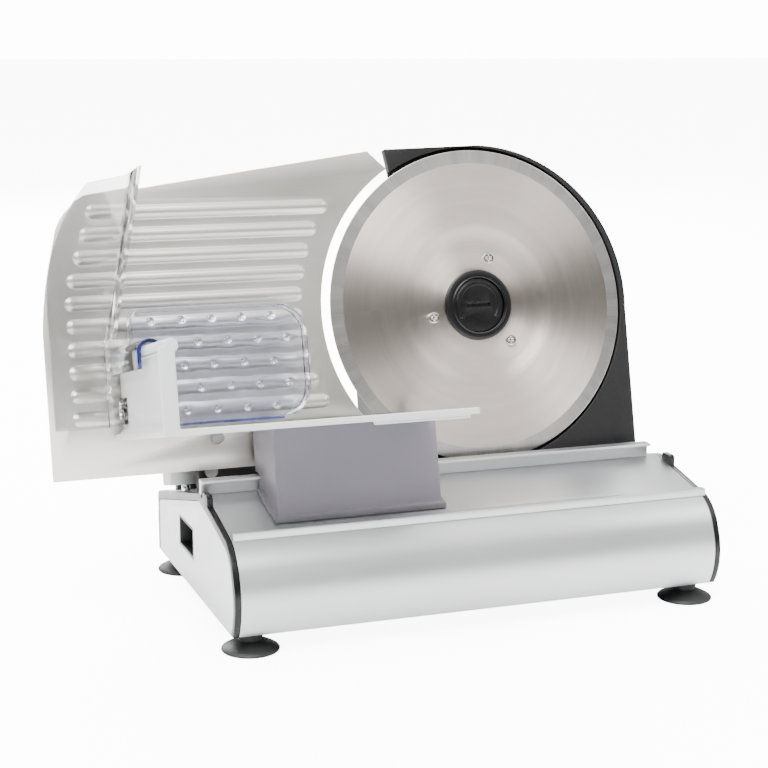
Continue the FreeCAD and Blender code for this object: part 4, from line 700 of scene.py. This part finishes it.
# ---------------------------------------------------------------- carriage
@dataclass
class Carriage:
    """Food carriage: grey foot whose darker grey is partly painted shade, pale tray with its end wall, clear guard
    and pusher with painted refraction in deep blue.
    """

    ring: float = 1.6 * MM
    cut: float = 0.05 * MM

    def build(self) -> None:
        """Makes the carriage's pieces."""
        # The foot's darker grey is partly painted shade from the tray above it.
        dressed("carriage_foot", GREY_ABS_WITH_PAINTED_SHADE, 0.7, 3)
        dressed("carriage_tray", PALE_ABS, 0.7, 3)
        painted("glide_pads", NYLON)
        painted("tray_screws", ZINC_STEEL)
        dressed("guard_screws", BRIGHT_STEEL, 0.2)
        dressed("thumb_guard", CLEAR_GUARD, 0.4, 2)
        dressed("pusher_plate", CLEAR_BLUE, 0.4, 2)
        self.painted_refraction_line()
        front = span("pusher_saddle", HEAD)[0].y
        self.saddle_part("pusher_saddle_skin", front + self.ring + self.cut, True, CLEAR_BLUE)
        # The saddle's front ring in deep blue is painted refraction.
        self.saddle_part("saddle_painted_refraction_ring", front + self.ring, False, PAINTED_REFRACTION_BLUE)

    def painted_refraction_line(self) -> None:
        """Painted refraction: a deep-blue strip along the pusher's lower front edge, where the clear plastic's edge
        shows refracted colour.
        """
        low, high = span("pusher_plate", HEAD)
        piece = slab("pusher_painted_refraction_line", Vector((low.x + 8.0 * MM, low.y + 0.1 * MM, low.z + 0.15 * MM)),
                     Vector((high.x - 17.0 * MM, low.y + 1.5 * MM, low.z + 1.45 * MM)))
        rounded(piece, 0.3 * MM, 2)
        smoothed(piece)
        moved(piece, HEAD)
        settle(piece, "pusher_plate", PAINTED_REFRACTION_BLUE, stands_for=False)

    def saddle_part(self, name: str, depth: float, behind: bool, finish: ClearPlastic) -> None:
        """Saddle cut across its length, so that its front end can carry the painted refraction in deep blue.

        Args:
            name: name of the piece.
            depth: where the cut is, along the head's depth in metres.
            behind: whether the part behind the cut is kept, or the part in front.
            finish: what it is made of.
        """
        piece = traced(name, "pusher_saddle")
        bpy.ops.object.mode_set(mode="EDIT")
        bpy.ops.mesh.select_all(action="SELECT")
        bpy.ops.mesh.bisect(plane_co=tuple(HEAD @ Vector((0.0, depth, 0.0))), plane_no=tuple(BACK),
            use_fill=True,
                            clear_inner=behind, clear_outer=not behind)
        bpy.ops.object.mode_set(mode="OBJECT")
        rounded(piece, 0.35 * MM, 2)
        smoothed(piece)
        settle(piece, "pusher_saddle", finish)


# ---------------------------------------------------------------- studio
@dataclass
class Studio:
    """White floor, soft lights and the camera.

    The floor and the backdrop glow for the camera alone, which keeps them white without lighting the slicer.
    """

    focal: float = 81.47
    distance: tuple[float, float, float] = (-0.41308, -0.96565, 0.16238)
    yaw: float = 20.011
    pitch: float = 11.418
    roll: float = 0.194
    floor_glow: float = 9.0
    backdrop_glow: float = 14.0
    side_light: float = 0.22
    top_light: float = 2.4

    def build(self) -> None:
        """Sets the scene round the object."""
        self.floor()
        self.lights()
        self.camera()

    def floor(self) -> None:
        """A wide pale floor, with a glow that only the camera sees."""
        bpy.ops.object.select_all(action="DESELECT")
        bpy.ops.mesh.primitive_plane_add(size=30.0, location=(0.0, 6.0, 0.0))
        floor = started("floor")
        material, tree = blank("white_floor")
        seen = add(tree, "ShaderNodeLightPath").outputs["Is Camera Ray"]
        glow = add(tree, "ShaderNodeMath", {0: seen, 1: self.floor_glow}, operation="MULTIPLY").outputs[0]
        shader = add(tree, "ShaderNodeBsdfPrincipled", {
            "Base Color": (0.97, 0.97, 0.97, 1.0), "Roughness": 0.8,
            "Emission Color": (1.0, 1.0, 1.0, 1.0), "Emission Strength": glow})
        add(tree, "ShaderNodeOutputMaterial", {"Surface": shader.outputs["BSDF"]})
        floor.data.materials.append(material)

    def lights(self) -> None:
        """Soft light that is strongest overhead, and large soft boxes."""
        world = bpy.data.worlds.new("studio")
        world.use_nodes = True
        tree = world.node_tree
        tree.nodes.clear()
        spot = add(tree, "ShaderNodeTexCoord").outputs["Generated"]
        height = add(tree, "ShaderNodeSeparateXYZ", {"Vector": spot}).outputs["Z"]
        glow = add(tree, "ShaderNodeMapRange", {
            "Value": height, "From Min": 0.28, "From Max": 0.75, "To Min": self.side_light, "To Max": self.top_light})
        seen = add(tree, "ShaderNodeLightPath").outputs["Is Camera Ray"]
        strength = add(tree, "ShaderNodeMix", {"Factor": seen, 2: glow.outputs["Result"], 3: self.backdrop_glow})
        sky = add(tree, "ShaderNodeBackground", {"Color": (1.0, 1.0, 1.0, 1.0),
            "Strength": strength.outputs[0]})
        add(tree, "ShaderNodeOutputWorld", {"Surface": sky.outputs["Background"]})
        bpy.context.scene.world = world
        self.soft_box("key", (-0.8, -0.8, 2.1), 1.7, 150.0)
        self.soft_box("left", (-2.0, -0.3, 1.3), 0.8, 8.0)
        self.soft_box("right", (1.9, -0.7, 1.5), 0.9, 14.0)
        self.soft_box("back", (0.2, 1.9, 1.5), 2.4, 170.0)

    def soft_box(self, name: str, place: tuple[float, float, float], size: float, power: float) -> None:
        """One square area light aimed at the blade.

        Args:
            name: its name.
            place: where it stands, in metres.
            size: length of its side.
            power: its power in watts.
        """
        light = bpy.data.lights.new(name, "AREA")
        light.size = size
        light.energy = power
        lamp = bpy.data.objects.new(name, light)
        bpy.context.scene.collection.objects.link(lamp)
        lamp.location = place
        lamp.rotation_euler = (CENTRE - Vector(place)).to_track_quat("-Z", "Y").to_euler()

    def camera(self) -> None:
        """The camera, set from the blade's centre."""
        data = bpy.data.cameras.new("camera")
        data.lens = self.focal
        data.sensor_width = 36.0
        camera = bpy.data.objects.new("camera", data)
        bpy.context.scene.collection.objects.link(camera)
        turn = Matrix.Rotation(-math.radians(self.yaw), 4,
            "Z") @ Matrix.Rotation(math.radians(90.0 - self.pitch), 4, "X")
        place = Matrix.Translation(CENTRE + Vector(self.distance))
        tilt = Matrix.Rotation(math.radians(self.roll), 4, "Z")
        camera.matrix_world = place @ turn @ tilt
        bpy.context.scene.camera = camera


def main() -> None:
    """Builds the slicer's pieces in order, then the studio."""
    logging.basicConfig(level=logging.INFO, format="%(message)s")
    for assembly in (BladeSet(), Housing(), Base(), ThicknessPlate(), Carriage()):
        assembly.build()
        LOG.info("%s is done", type(assembly).__name__)
    Studio().build()


if __name__ == "__main__":
    main()
